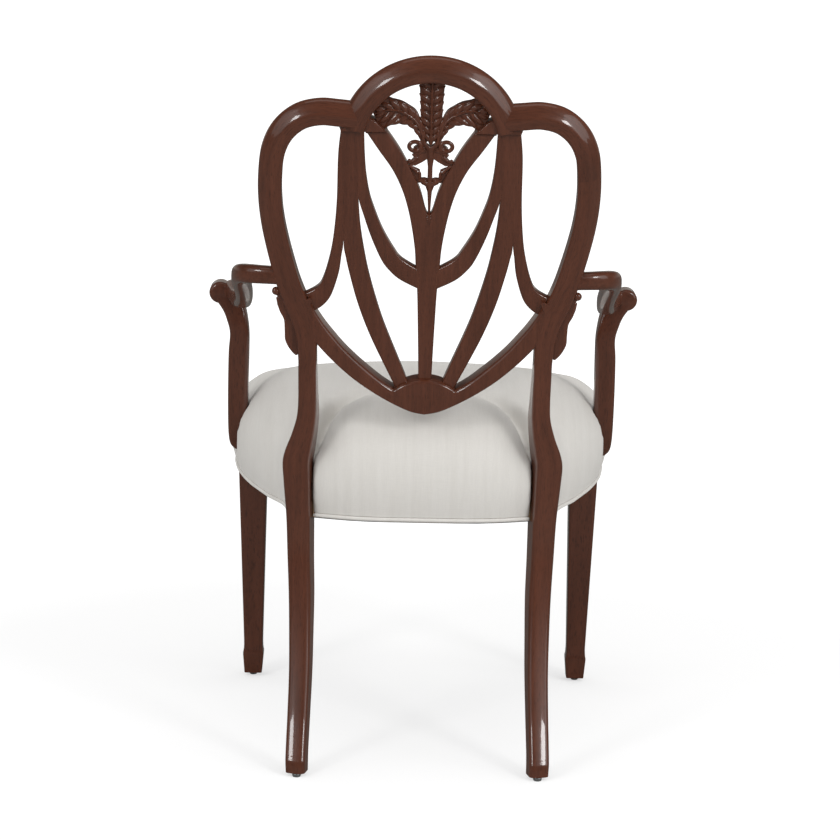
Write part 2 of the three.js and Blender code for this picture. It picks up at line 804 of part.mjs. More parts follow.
// The knuckle: a rounded scroll that lies beside the arm's end, its axis front to back
const knuckleShares = [0.991, -0.35, -1]; // its middle, as in the arm's stations
const knuckleProfileShares = [
  [0.72, 0], [0.92, 0.05], [1, 0.16], [1, 0.84], [0.92, 0.95], [0.72, 1],
];

function knuckleSolid(grow) {
  const [side, back, fall] = knuckleShares;
  const long = knuckle.length + 2 * grow;
  const start = new THREE.Vector3(
    side * arm.reach,
    back * backLine - long / 2,
    arm.jointHeight + fall * (arm.jointHeight - arm.knuckleHeight),
  );
  const profile = knuckleProfileShares.map(([radius, along]) => [
    radius * (knuckle.radius + grow),
    along * long,
  ]);
  const backward = new THREE.Vector3(0, 1, 0);
  return pin(start, backward, [[0, 0], ...profile, [0, long]], facets.arm);
}

// Arm support: height in shares of its own, then sideways and back in shares of its
// centre and set-back, and the width and depth of the section
const supportStationShares = [
  [0, 1.004, -1.05, 0.2, 0.25],
  [0.034, 1, -1.05, 0.72, 0.6],
  [0.1, 0.998, -1.03, 0.95, 0.88],
  [0.227, 0.999, -1, 1, 1],
  [0.437, 0.999, -0.93, 1, 1],
  [0.647, 0.996, -0.87, 1, 0.97],
  [0.773, 0.993, -0.86, 0.94, 0.98],
  [0.857, 1.006, -0.88, 1.02, 1.06],
  [0.925, 1.026, -0.92, 1.14, 1.14],
  [1, 1.062, -0.96, 1.4, 1.2],
];

function supportSolid(grow = 0) {
  const tall = support.top - support.bottom;
  const across = new THREE.Vector3(1, 0, 0);
  const back = new THREE.Vector3(0, 1, 0);
  const rings = supportStationShares.map(([up, side, setBack, wide, deep]) =>
    roundedRing(
      new THREE.Vector3(
        side * support.centre,
        setBack * support.setBack,
        support.bottom + up * tall,
      ),
      across,
      back,
      wide * support.width + 2 * grow,
      deep * support.depth + 2 * grow,
    ),
  );
  return loft(rings, roundedPlan);
}

// Front leg: square, tapered, with a spade foot
function frontLegSolid(grow = 0) {
  const top = seat.railTop;
  const stations = [
    [glide.thick, frontLeg.sole, 1],
    [frontLeg.spadeHeight, frontLeg.spade, 1],
    [(frontLeg.spadeHeight + frontLeg.ankleHeight) / 2, (frontLeg.spade + frontLeg.ankle) / 2, 1],
    [frontLeg.ankleHeight, frontLeg.ankle, 1],
    [seat.railBottom, frontLeg.top, 0],
    [top, frontLeg.top, 0],
  ];
  const topCentre = frontLeg.outerFace - frontLeg.top / 2;
  const ankleCentre = frontLeg.outerFace - frontLeg.lean - frontLeg.ankle / 2;
  const plan = [];
  const rings = stations.map(([z, size, low]) => {
    const x = THREE.MathUtils.lerp(topCentre, ankleCentre, low);
    const y = -frontLeg.backFace - frontLeg.top / 2;
    const half = size / 2 + grow;
    const flat = half - frontLeg.chamfer;
    return [
      [half, flat], [flat, half], [-flat, half], [-half, flat],
      [-half, -flat], [-flat, -half], [flat, -half], [half, -flat],
    ].map(([dx, dy]) => new THREE.Vector3(x + dx, y + dy, z));
  });
  rings[0].forEach((p) => plan.push(new THREE.Vector2(p.x, p.y)));
  return loft(rings, plan);
}

// Seat plan: the lower edge of the cover, from the middle of the back round one side
const seatPlanShares = [
  [0, 0.607], [0.29, 0.6], [0.52, 0.543], [0.64, 0.49], [0.675, 0.417], [0.712, 0.282],
  [0.8, 0.104], [0.89, -0.141], [0.957, -0.386], [0.99, -0.605], [1, -0.772], [0.975, -0.845],
  [0.906, -0.879], [0.76, -0.913], [0.58, -0.945], [0.3, -0.981], [0, -1],
];
const seatPlanPoints = inShares(seatPlanShares, seat.halfWidth, seat.reach);
const seatPlanLoop = new THREE.SplineCurve([
  ...seatPlanPoints,
  ...flipped(seatPlanPoints.slice(1, -1)),
  seatPlanPoints[0],
]);
const seatPlan = steps(facets.seat * 2)
  .slice(1)
  .map((t) => seatPlanLoop.getPoint(t));
const seatInset = (distance) => grown(seatPlan, -distance);

// A flat-sided body from an outline and two heights
function prism(outline, bottom, top) {
  const geometry = new THREE.ExtrudeGeometry(new THREE.Shape(outline), {
    depth: top - bottom,
    bevelEnabled: false,
  });
  geometry.translate(0, 0, bottom);
  return solid(geometry);
}

// The cushion: rings of the seat plan that swell out, draw in and close over the crown.
// Height in shares of the rise, then sideways growth in shares of the bulge and how far
// the ring has closed towards the middle.
const cushionRingShares = [
  [0, 0, 0], [0.08, 0.4, 0], [0.22, 0.85, 0], [0.38, 1, 0], [0.54, 0.9, 0.01],
  [0.68, 0.4, 0.03], [0.79, -0.2, 0.07], [0.875, -0.4, 0.14], [0.94, -0.3, 0.28],
  [0.98, 0, 0.5], [0.996, 0, 0.75],
];
const crownSetBackShare = 0.17;
const crownAt = -crownSetBackShare * seat.reach;

function cushion(inset, bottom, top, every = 1) {
  const plan = seatInset(inset);
  const kept = cushionRingShares.filter((ring, i) => i % every === 0);
  const rings = kept.map(([rise, swell, closing]) =>
    grown(plan, swell * seat.bulge).map((p) => {
      const place = new THREE.Vector3(p.x, p.y, 0);
      place.lerp(new THREE.Vector3(0, crownAt, 0), closing);
      const domed = top - seat.fall * (place.x / seat.halfWidth) ** 2;
      return place.setZ(THREE.MathUtils.lerp(bottom, domed, rise));
    }),
  );
  return loft(rings, plan);
}

// The whole set of frame members that others are cut against

const leftStile = rearStile();

// The front leg is cut back above its shoulder, so that the cover passes over it
const insideCover = prism(
  seatInset(seat.cover + chair.gap),
  seat.railBottom - chair.overrun,
  seat.railTop + chair.overrun,
);
const aboveShoulder = box(
  new THREE.Vector3(0, 0, (seat.railBottom + seat.crown) / 2),
  new THREE.Vector3(
    2 * (seat.halfWidth + chair.overrun),
    2 * chair.depth,
    seat.crown - seat.railBottom,
  ),
);
const frontLegBlank = cut(frontLegSolid(), cut(aboveShoulder, insideCover));
const armBlank = armSolid();
const supportBlank = supportSolid();

const stileRoom = loft(legRings(chair.gap), sectionPlan);
const legRoom = frontLegSolid(chair.gap);
const supportRoom = supportSolid(chair.gap);
const armRoom = armSolid(chair.gap);
const bothSides = (body) => join(body, mirrored(body));

// Rails are bands of the seat plan between two of its points
function railBand(fromShare, toShare, from = seat.cover + chair.gap, thick = seat.railThick) {
  const within = prism(seatInset(from), seat.railBottom, seat.railTop);
  const count = facets.seat / 2;
  const gapShare = (2 * chair.gap) / seatPlanLoop.getLength();
  const shares = steps(count).map((t) =>
    THREE.MathUtils.lerp(fromShare + gapShare, toShare - gapShare, t),
  );
  const edge = (distance) =>
    shares.map((share) => {
      const at = (share + 1) % 1;
      const along = seatPlanLoop.getTangent(at);
      const inward = new THREE.Vector2(along.y, -along.x);
      return seatPlanLoop.getPoint(at).addScaledVector(inward, distance);
    });
  const outline = [...edge(0), ...edge(from + thick).reverse()];
  return common(prism(outline, seat.railBottom, seat.railTop), within);
}

// Where the posts and the front legs stand along the seat plan
const rearRailShare = 0.0859;
const postShare = 0.0969;
const sideEndShare = 0.335; // the side rail ends inside the front leg
const frontStartShare = 0.385; // and so does the front rail

// Tenons: a box at the middle of each rail end, half in the rail and half in the leg
const tenonPlaceShares = { front: 0.8965, side: 0.28, rear: 0.172, post: 0.639 };
const tenonHeight = seat.railBottom + seat.railHeight / 2;
const alongX = new THREE.Vector3(tenon.reach + tenon.root, tenon.thick, tenon.height);
const alongY = new THREE.Vector3(tenon.thick, tenon.reach + tenon.root, tenon.height);
const legInnerFace = frontLeg.outerFace - frontLeg.top;
const frontTenonAt = new THREE.Vector3(
  legInnerFace + (tenon.reach - tenon.root) / 2,
  -seat.reach * tenonPlaceShares.front + seat.cover + seat.railThick - tenon.thick / 2,
  tenonHeight,
);
const sideTenonAt = new THREE.Vector3(
  frontLeg.outerFace - frontLeg.top * tenonPlaceShares.side,
  -frontLeg.backFace - (tenon.reach - tenon.root) / 2,
  tenonHeight,
);
const postFaceShares = { inner: 1.092, back: 0.583, front: 1.142 };
const postFace = {
  inner: stile.spread - postFaceShares.inner * stile.width,
  front: postFaceShares.back * backLine - postFaceShares.front * stile.depth,
};
const rearTenonAt = new THREE.Vector3(
  postFace.inner + (tenon.reach - tenon.root) / 2 - tenon.root / 2,
  postFace.front + stile.depth * tenonPlaceShares.rear,
  tenonHeight,
);
const postTenonAt = new THREE.Vector3(
  stile.spread - stile.width * tenonPlaceShares.post,
  postFace.front + (tenon.reach - tenon.root) / 2 - tenon.root / 2,
  tenonHeight,
);

// Screws and dowels
const screwProfile = (grow = 0) => [
  [0, 0],
  [screw.headRadius + grow, 0],
  [screw.headRadius + grow, screw.headDepth / 3],
  [screw.radius + grow, screw.headDepth + grow],
  [screw.radius + grow, screw.length - screw.radius + grow],
  [0, screw.length + grow],
];
const outwardX = new THREE.Vector3(1, 0, 0);
const supportScrewStart = new THREE.Vector3(
  support.centre - support.width / 2 - screw.inRail,
  -support.setBack,
  (support.bottom + seat.railTop) / 2,
);
const screwHole = (start, direction) => {
  const mouth = start.clone().addScaledVector(direction, -chair.overrun);
  const wide = screw.headRadius + chair.gap;
  const well = pin(mouth, direction, [
    [0, 0], [wide, 0], [wide, chair.overrun + chair.gap], [0, chair.overrun + chair.gap],
  ]);
  return join(well, pin(start, direction, screwProfile(chair.gap)));
};
const supportScrew = () => pin(supportScrewStart, outwardX, screwProfile());
const supportScrewHole = screwHole(supportScrewStart, outwardX);

const dowelDirectionShares = [1, -0.2, 0];
const dowelPlaceShares = [0.7, 0.712]; // its middle: sideways in the reach, back in the depth
const dowelDirection = new THREE.Vector3(...dowelDirectionShares).normalize();
const dowelStart = new THREE.Vector3(
  arm.reach * dowelPlaceShares[0],
  backLine * dowelPlaceShares[1],
  arm.jointHeight,
).addScaledVector(dowelDirection, -dowel.length / 2);
const dowelProfile = (grow = 0) => [
  [0, -grow],
  [dowel.radius + grow, -grow],
  [dowel.radius + grow, dowel.length + grow],
  [0, dowel.length + grow],
];
const armDowel = () => pin(dowelStart, dowelDirection, dowelProfile());
const dowelHole = pin(dowelStart, dowelDirection, dowelProfile(chair.gap));

// Nail-on glides under the four feet
const glideProfile = (grow = 0) => [
  [0, 0],
  [glide.radius - glide.rim, 0],
  [glide.radius, glide.rim],
  [glide.radius, glide.thick - chair.gap],
  [glide.nailRadius + grow, glide.thick - chair.gap],
  [glide.nailRadius + grow, glide.thick + glide.nailLength - glide.nailRadius + grow],
  [0, glide.thick + glide.nailLength + grow],
];
const middleOf = (ring) => new THREE.Box3().setFromPoints(ring).getCenter(new THREE.Vector3());
const rearFoot = middleOf(legRing(soleShares)).setZ(0);
const frontFoot = new THREE.Vector3(
  frontLeg.outerFace - frontLeg.lean - frontLeg.ankle / 2,
  -frontLeg.backFace - frontLeg.top / 2,
  0,
);
const glideAt = (foot, grow = 0) => pin(foot, upward, glideProfile(grow));

// Rails, blocks and the pieces that are fitted to them
const rearRail = () =>
  join(
    cut(
      railBand(-rearRailShare, rearRailShare),
      bothSides(stileRoom),
      bothSides(blockScrewHole("rear")),
    ),
    bothSides(box(rearTenonAt, alongX)),
  );
const sideRail = () =>
  cut(
    join(
      cut(railBand(postShare, sideEndShare), stileRoom, legRoom, rearRailRoom),
      box(sideTenonAt, alongY),
      box(postTenonAt, alongY),
    ),
    supportRoom,
    box(rearTenonAt, alongX, chair.gap),
    supportScrewHole,
    blockScrewHole("rear"),
    blockScrewHole("front"),
  );
const frontRail = () =>
  join(
    cut(
      railBand(frontStartShare, 1 - frontStartShare),
      bothSides(legRoom),
      bothSides(blockScrewHole("front")),
    ),
    bothSides(box(frontTenonAt, alongX)),
  );

const leftLegParts = () =>
  cut(
    frontLegBlank,
    box(frontTenonAt, alongX, chair.gap),
    box(sideTenonAt, alongY, chair.gap),
    blockScrewHole("front"),
    glideAt(frontFoot, chair.gap),
  );
const leftStileParts = () =>
  cut(
    leftStile,
    box(rearTenonAt, alongX, chair.gap),
    box(postTenonAt, alongY, chair.gap),
    blockScrewHole("rear"),
    glideAt(rearFoot, chair.gap),
    dowelHole,
  );

// Corner blocks fill the angle between two rails; plan points in shares of the seat
const blockShares = {
  front: [[0.88, -0.62], [0.78, -0.5], [0.5, -0.83], [0.52, -0.9], [0.7, -0.89], [0.82, -0.72]],
  rear: [[0.54, 0.42], [0.68, 0.19], [0.6, 0.13], [0.3, 0.44], [0.34, 0.5], [0.5, 0.46]],
};
const railRoom = (fromShare, toShare) =>
  railBand(fromShare, toShare, seat.cover, seat.railThick + 2 * chair.gap);
const rearRailRoom = railRoom(-rearRailShare, rearRailShare);
const frontRailRoom = railRoom(frontStartShare, 1 - frontStartShare);
const sideRailRoom = railRoom(postShare, sideEndShare);
const blockScrews = {
  front: { atShares: [0.66, -0.68], directionShares: [0.72, -0.69, 0] },
  rear: { atShares: [0.49, 0.3], directionShares: [0.6, 0.8, 0] },
};
const screwLine = (end) => new THREE.Vector3(...blockScrews[end].directionShares).normalize();
const blockScrewStart = ([a, b]) =>
  new THREE.Vector3(
    a * seat.halfWidth,
    b * seat.reach,
    seat.railTop - block.drop - block.height / 2,
  );
const blockScrew = (end) =>
  pin(blockScrewStart(blockScrews[end].atShares), screwLine(end), screwProfile());
const blockScrewHole = (end) =>
  screwHole(blockScrewStart(blockScrews[end].atShares), screwLine(end));

function cornerBlock(end) {
  const outline = inShares(blockShares[end], seat.halfWidth, seat.reach);
  const top = seat.railTop - block.drop;
  return cut(
    prism(outline, top - block.height, top),
    rearRailRoom,
    sideRailRoom,
    frontRailRoom,
    stileRoom,
    legRoom,
    blockScrewHole(end),
  );
}

// Jute webbing, stretched over the rails both ways
const strapLevel = seat.railTop + chair.gap;
const strapField = prism(seatInset(webbing.inset), seat.railTop, seat.crown);
function strap(centre, size, level) {
  const at = new THREE.Vector3(centre.x, centre.y, level + webbing.thick / 2);
  return cut(common(box(at, size), strapField), bothSides(stileRoom), bothSides(supportRoom));
}
const longStrap = (i) =>
  strap(
    new THREE.Vector2(webbing.pitch * (i - (strapLetters.length - 1) / 2), 0),
    new THREE.Vector3(webbing.width, chair.depth, webbing.thick),
    strapLevel,
  );
const crossStrap = (i) =>
  strap(
    new THREE.Vector2(0, webbing.crossStart + webbing.crossPitch * i),
    new THREE.Vector3(seat.halfWidth * 2, webbing.width, webbing.thick),
    strapLevel + webbing.thick + chair.gap,
  );

// Foam, cover, welt and dust cover
const foamBottom = strapLevel + 2 * (webbing.thick + chair.gap);
const foamTop = seat.crown - seat.foamInset;
const foamRingStep = 3; // the foam keeps every third ring of the cushion
const foamBody = () =>
  cut(
    cushion(seat.foamInset, foamBottom, foamTop, foamRingStep),
    bothSides(stileRoom),
    bothSides(supportRoom),
  );
const coverBottom = seat.railBottom + seat.weltLift + 2 * seat.weltRadius + chair.gap;

function seatCover() {
  const foamRoom = cushion(
    seat.foamInset - chair.gap,
    foamBottom - chair.gap,
    foamTop + chair.gap,
    foamRingStep,
  );
  const frameRoom = prism(
    seatInset(seat.cover),
    seat.railBottom - chair.overrun,
    foamBottom + chair.gap,
  );
  return cut(
    cushion(0, coverBottom, seat.crown),
    frameRoom,
    foamRoom,
    bothSides(stileRoom),
    bothSides(supportRoom),
  );
}

// A cord of round section along part of the seat plan
function weltAlong(fromShare, toShare) {
  const z = seat.railBottom + seat.weltLift + seat.weltRadius;
  const cord = new THREE.EllipseCurve(0, 0, seat.weltRadius, seat.weltRadius);
  const plan = cord.getPoints(facets.cord).slice(1);
  const outside = grown(seatPlan, 1);
  const count = seatPlan.length;
  const first = Math.round(fromShare * count);
  const last = Math.round(toShare * count);
  const rings = steps(last - first).map((t) => {
    const at = (first - 1 + Math.round(t * (last - first)) + count) % count;
    const outward = outside[at].clone().sub(seatPlan[at]);
    return plan.map((p) =>
      new THREE.Vector3(
        seatPlan[at].x + outward.x * p.x,
        seatPlan[at].y + outward.y * p.x,
        z + p.y,
      ),
    );
  });
  return loft(rings, plan);
}
const weltRear = () => cut(weltAlong(-rearRailShare, rearRailShare), bothSides(stileRoom));
const weltFront = () =>
  cut(weltAlong(postShare, 1 - postShare), bothSides(stileRoom), bothSides(supportRoom));

function dustSheet() {
  const top = seat.railBottom - chair.gap;
  return cut(
    prism(seatInset(dustCover.inset), top - dustCover.thick, top),
    bothSides(stileRoom),
    bothSides(legRoom),
  );
}

// Put the chair together
const chairGroup = new THREE.Group();

function add(name, body, finish) {
  const mesh = new THREE.Mesh(geometryOf(body), new THREE.MeshStandardMaterial(colours[finish]));
  mesh.name = name;
  chairGroup.add(mesh);
}

function addPair(name, body, finish) {
  add(name + "_left", body, finish);
  add(name + "_right", mirrored(body), finish);
}

add("crest_rail", crestRail(), "mahogany");
addPair("rear_stile", leftStileParts(), "mahogany");
add("shield_base", shieldBase(), "mahogany");
add("centre_splat", centreSplat(), "mahogany");
addPair("long_rib", longRib(), "mahogany");
addPair("inner_swag", innerSwag(), "mahogany");
addPair("outer_swag", outerSwag(), "mahogany");
add("plume_centre", plumeCentre(), "mahogany");
addPair("plume", plumeSide(), "mahogany");
add("ribbon_bow", ribbonBow(), "mahogany");
add("husk_drop", huskDrop(), "mahogany");
addPair("leaf_bracket", leafBracket(), "mahogany");
addPair("arm", cut(armBlank, besideStile, dowelHole), "mahogany");
addPair("arm_support", cut(supportBlank, armRoom, supportScrewHole), "mahogany");
addPair("support_screw", supportScrew(), "steel");
addPair("arm_dowel", armDowel(), "beech");
addPair("front_leg", leftLegParts(), "mahogany");
add("front_rail", frontRail(), "beech");
addPair("side_rail", sideRail(), "beech");
add("rear_rail", rearRail(), "beech");
["front", "rear"].forEach((end) => {
  addPair(end + "_corner_block", cornerBlock(end), "beech");
  addPair(end + "_block_screw", blockScrew(end), "steel");
});
strapLetters.forEach((letter, i) => {
  add("webbing_long_" + letter, longStrap(i), "jute");
  add("webbing_cross_" + letter, crossStrap(i), "jute");
});
add("seat_foam", foamBody(), "foam");
add("seat_cover", seatCover(), "cloth");
add("welt_rear", weltRear(), "cloth");
add("welt_front", weltFront(), "cloth");
add("dust_cover", dustSheet(), "cambric");
addPair("rear_glide", glideAt(rearFoot), "steel");
addPair("front_glide", glideAt(frontFoot), "steel");

export default chairGroup;
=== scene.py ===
import json
import math

import bmesh
import bpy
import numpy as np
from mathutils import Matrix, Vector
from mathutils.geometry import tessellate_polygon


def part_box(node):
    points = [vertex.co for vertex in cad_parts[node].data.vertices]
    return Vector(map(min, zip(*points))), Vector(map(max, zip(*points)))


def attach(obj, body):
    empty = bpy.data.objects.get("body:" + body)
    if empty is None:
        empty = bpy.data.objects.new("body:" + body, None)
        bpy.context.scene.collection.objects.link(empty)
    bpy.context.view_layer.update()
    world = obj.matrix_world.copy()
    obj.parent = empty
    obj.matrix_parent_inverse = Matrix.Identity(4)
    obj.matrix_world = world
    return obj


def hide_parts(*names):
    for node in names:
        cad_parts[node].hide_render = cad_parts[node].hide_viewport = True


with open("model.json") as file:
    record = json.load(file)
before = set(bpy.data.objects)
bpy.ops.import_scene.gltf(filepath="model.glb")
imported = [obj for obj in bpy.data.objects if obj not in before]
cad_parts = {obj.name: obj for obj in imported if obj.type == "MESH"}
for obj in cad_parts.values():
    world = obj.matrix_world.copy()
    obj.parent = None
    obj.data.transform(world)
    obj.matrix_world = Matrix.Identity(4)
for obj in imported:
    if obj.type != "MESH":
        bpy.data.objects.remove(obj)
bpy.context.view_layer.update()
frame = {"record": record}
scene = bpy.context.scene


def placed(name, data):
    """A new object in the scene."""
    obj = bpy.data.objects.new(name, data)
    bpy.context.collection.objects.link(obj)
    return obj


# The camera, as fitted to the photograph
AIM, YAW, ROLL = math.radians(10.991), math.radians(0.82), math.radians(1.244)
CAMERA_PLACE = (0.064, 4.2944, 1.2839)
FOCAL_PIXELS, IMAGE_PIXELS, SENSOR = 3032.1, 840, 36
FORWARD = Vector((-math.sin(YAW) * math.cos(AIM), -math.cos(YAW) * math.cos(AIM), -math.sin(AIM)))
SIDE = FORWARD.cross(Vector((0, 0, 1))).normalized()
TOP = SIDE.cross(FORWARD)
SIDE, TOP = (math.cos(ROLL) * SIDE + math.sin(ROLL) * TOP,
             math.cos(ROLL) * TOP - math.sin(ROLL) * SIDE)
camera = placed("camera", bpy.data.cameras.new("camera"))
camera.data.sensor_width = SENSOR
camera.data.lens = FOCAL_PIXELS * SENSOR / IMAGE_PIXELS
camera.data.clip_start, camera.data.clip_end = 0.1, 60
turn = Matrix((SIDE, TOP, -FORWARD)).transposed().to_4x4()
camera.matrix_world = Matrix.Translation(CAMERA_PLACE) @ turn
scene.camera = camera

# The chair's own measures, in metres. The back leans, and leans more towards its top
BACK = 0.309
HALF, TALL, BAND, LOW_BAND, THICK = 0.230, 0.508, 0.0325, 0.026, 0.030
LEAN, LEAN_TOP = math.radians(11.7), math.radians(15)
RATE = (LEAN_TOP - LEAN) / TALL
ARCH_CENTRE, ARCH_OUT, ARCH_START = 0.385, 0.1235, math.radians(13)
SEAM = 0.406


def reach_back(v):
    """How far back the shield leans at a place up its face."""
    return (math.cos(LEAN) - np.cos(LEAN + RATE * v)) / RATE


TIP_BACK, TIP_UP = BACK - reach_back(TALL - BAND / 2), 0.4945


def on_back(u, v, w):
    """A place on the shield: sideways, up its face and forward from its back face."""
    u, v, w = np.broadcast_arrays(np.asarray(u, float), np.asarray(v, float), np.asarray(w, float))
    a = LEAN + RATE * v
    up = (np.sin(a) - math.sin(LEAN)) / RATE
    return np.stack([u, TIP_BACK + reach_back(v) - w * np.cos(a), TIP_UP + up + w * np.sin(a)], -1)


# Lines and outlines
def spline(points, count, closed=False):
    """Points along a smooth curve through the given ones, count to each span."""
    p = np.asarray(points, float)
    p = np.vstack([p[-1:], p, p[:2]] if closed else [p[:1], p, p[-1:]])
    out = []
    for a, b, c, d in zip(p, p[1:], p[2:], p[3:]):
        v0, v1 = (c - a) / 2, (d - b) / 2
        cubic, square = 2 * b - 2 * c + v0 + v1, -3 * b + 3 * c - 2 * v0 - v1
        for k in range(count):
            t = k / count
            out.append(cubic * t ** 3 + square * t ** 2 + v0 * t + b)
    return np.array(out if closed else out + [p[-1]])


def distances(points):
    """How far along its line each point lies."""
    return np.concatenate([[0], np.cumsum(np.linalg.norm(np.diff(points, axis=0), axis=1))])


def directions(points):
    """The direction of the line at each of its points."""
    along = np.gradient(points, axis=0)
    return along / np.linalg.norm(along, axis=1)[:, None]


def even(points, count, closed=False):
    """The same line with its points spread evenly along it."""
    p = np.asarray(points, float)
    if closed:
        p = np.vstack([p, p[:1]])
    d = distances(p)
    t = np.linspace(0, d[-1], count + 1 if closed else count)[:count]
    return np.stack([np.interp(t, d, p[:, k]) for k in range(p.shape[1])], -1)


def circle(count):
    """Points spread evenly round a circle with a radius of 1."""
    a = np.linspace(0, 2 * math.pi, count, endpoint=False)
    return np.stack([np.cos(a), np.sin(a)], -1)


def shield_points(shares):
    """Places on the shield in metres, from thousandths of its half width and of its height."""
    return np.asarray(shares, float) / 1000 * [HALF, TALL]


def shield_line(shares, count):
    return spline(shield_points(shares), count)


def symmetric(half):
    """A closed outline from its one half; a point on the middle line is used once."""
    return np.vstack([half, half[half[:, 0] != 0][::-1] * [-1, 1]])


def shifted(outline, distance):
    """The closed outline with every point moved outward."""
    p = np.asarray(outline, float)
    area = 0.5 * np.sum(p[:, 0] * np.roll(p[:, 1], -1) - np.roll(p[:, 0], -1) * p[:, 1])
    t = np.roll(p, -1, 0) - np.roll(p, 1, 0)
    t /= np.maximum(np.linalg.norm(t, axis=1), 1e-9)[:, None]
    out = np.stack([t[:, 1], -t[:, 0]], -1) * (1 if area > 0 else -1)
    return p + out * distance


def smoothstep(x, a, b):
    t = np.clip((x - a) / (b - a), 0, 1)
    return t * t * (3 - 2 * t)


# Meshes
def as_object(name, verts, faces, sharp=None):
    """An object with its faces turned outward, shaded smooth where its edges are blunter than sharp."""
    mesh = bpy.data.meshes.new(name)
    mesh.from_pydata(np.asarray(verts, float).tolist(), [], [tuple(f) for f in faces])
    bm = bmesh.new()
    bm.from_mesh(mesh)
    bmesh.ops.recalc_face_normals(bm, faces=bm.faces)
    if sharp is not None:
        limit = math.radians(sharp)
        for f in bm.faces:
            f.smooth = True
        for e in bm.edges:
            if len(e.link_faces) == 2 and e.calc_face_angle(0) > limit:
                e.smooth = False
    bm.to_mesh(mesh)
    bm.free()
    return placed(name, mesh)


def baked(obj, tools=()):
    """The object's mesh with its modifiers worked in, as points and faces; it goes, and its tools too."""
    done = obj.evaluated_get(bpy.context.evaluated_depsgraph_get())
    out = bpy.data.meshes.new_from_object(done)
    points = np.empty(len(out.vertices) * 3, np.float32)
    out.vertices.foreach_get("co", points)
    loops = np.empty(len(out.loops), np.int32)
    out.loops.foreach_get("vertex_index", loops)
    sizes = [p.loop_total for p in out.polygons]
    faces = [tuple(one) for one in np.split(loops, np.cumsum(sizes)[:-1])]
    bpy.data.meshes.remove(out)
    for used in (obj, *tools):
        mesh = used.data
        bpy.data.objects.remove(used)
        bpy.data.meshes.remove(mesh)
    return points.reshape(-1, 3).astype(float), faces


def add_skin(obj, voxel, rounds):
    """One closed skin round the object's solids, softened where they meet."""
    skin = obj.modifiers.new("skin", "REMESH")
    skin.mode, skin.voxel_size, skin.adaptivity = "VOXEL", voxel, 0
    soft = obj.modifiers.new("soft", "SMOOTH")
    soft.factor, soft.iterations = 0.5, rounds


def cut_away(obj, cutters):
    for k, cutter in enumerate(cutters):
        cut = obj.modifiers.new("cut" + str(k), "BOOLEAN")
        cut.operation, cut.solver, cut.object = "DIFFERENCE", "EXACT", cutter


def piece(name, verts, faces, nodes, slot="mahogany", grain=None, sharp=38):
    """A finished piece: its mesh, its shading, its material and what it stands for."""
    obj = as_object(name, verts, faces, sharp)
    if grain is not None:
        layer = obj.data.attributes.new("grain", "FLOAT_VECTOR", "POINT")
        layer.data.foreach_set("vector", np.asarray(grain, dtype=np.float32).ravel())
    obj.data.materials.append(FINISH[slot])
    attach(obj, "root")
    if nodes:
        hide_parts(*nodes)
    return obj


def flip(verts):
    return np.array(verts, float) * [-1, 1, 1]


def wooden(name, verts, faces, nodes, grain, sharp=38, shift=None):
    """A piece of mahogany; with a shift for its grain, a left one and its mirror image."""
    if shift is None:
        piece(name, verts, faces, nodes, grain=grain, sharp=sharp)
        return
    for side, place, lines in (("_left", verts, grain), ("_right", flip(verts), grain + shift)):
        piece(name + side, place, faces, [n + side for n in nodes], grain=lines, sharp=sharp)


def strips(rows, count, round_trip=False):
    """Faces between each ring of points and the next, and back to the first one on a round trip."""
    faces = []
    for r in range(rows if round_trip else rows - 1):
        here, there = r * count, (r + 1) % rows * count
        for i in range(count):
            j = (i + 1) % count
            faces.append((here + i, here + j, there + j, there + i))
    return faces


def lids(outline, last):
    """Triangles that close the first ring and the last."""
    faces = []
    for a, b, c in tessellate_polygon([[Vector((x, y, 0)) for x, y in outline]]):
        faces += [(c, b, a), (last + a, last + b, last + c)]
    return faces


def at_height(plan, z):
    return np.column_stack([plan, np.broadcast_to(z, len(plan))])


def loft_data(rings):
    rings = np.asarray(rings, float)
    rows, n, _ = rings.shape
    ends = [tuple(range(n - 1, -1, -1)), tuple((rows - 1) * n + i for i in range(n))]
    return rings.reshape(-1, 3), strips(rows, n) + ends


def prism(plan, low, high):
    return loft_data([at_height(plan, z) for z in (low, high)])


def loft_grain(rings, seed):
    """Grain coordinates that run along a swept piece."""
    rings = np.asarray(rings, float)
    centre = rings.mean(1)
    around = np.linalg.norm(rings - centre[:, None], axis=2)[..., None] * circle(rings.shape[1])
    along = np.repeat(distances(centre)[:, None, None], rings.shape[1], 1)
    return np.concatenate([along, around], -1).reshape(-1, 3) + [seed * 1.37, seed * 0.61, 0]


def loft(name, rings, nodes, seed, sharp=38):
    """A left and a right piece swept through rings."""
    wooden(name, *loft_data(rings), nodes, loft_grain(rings, seed), sharp, [0.53, 0.17, 0])


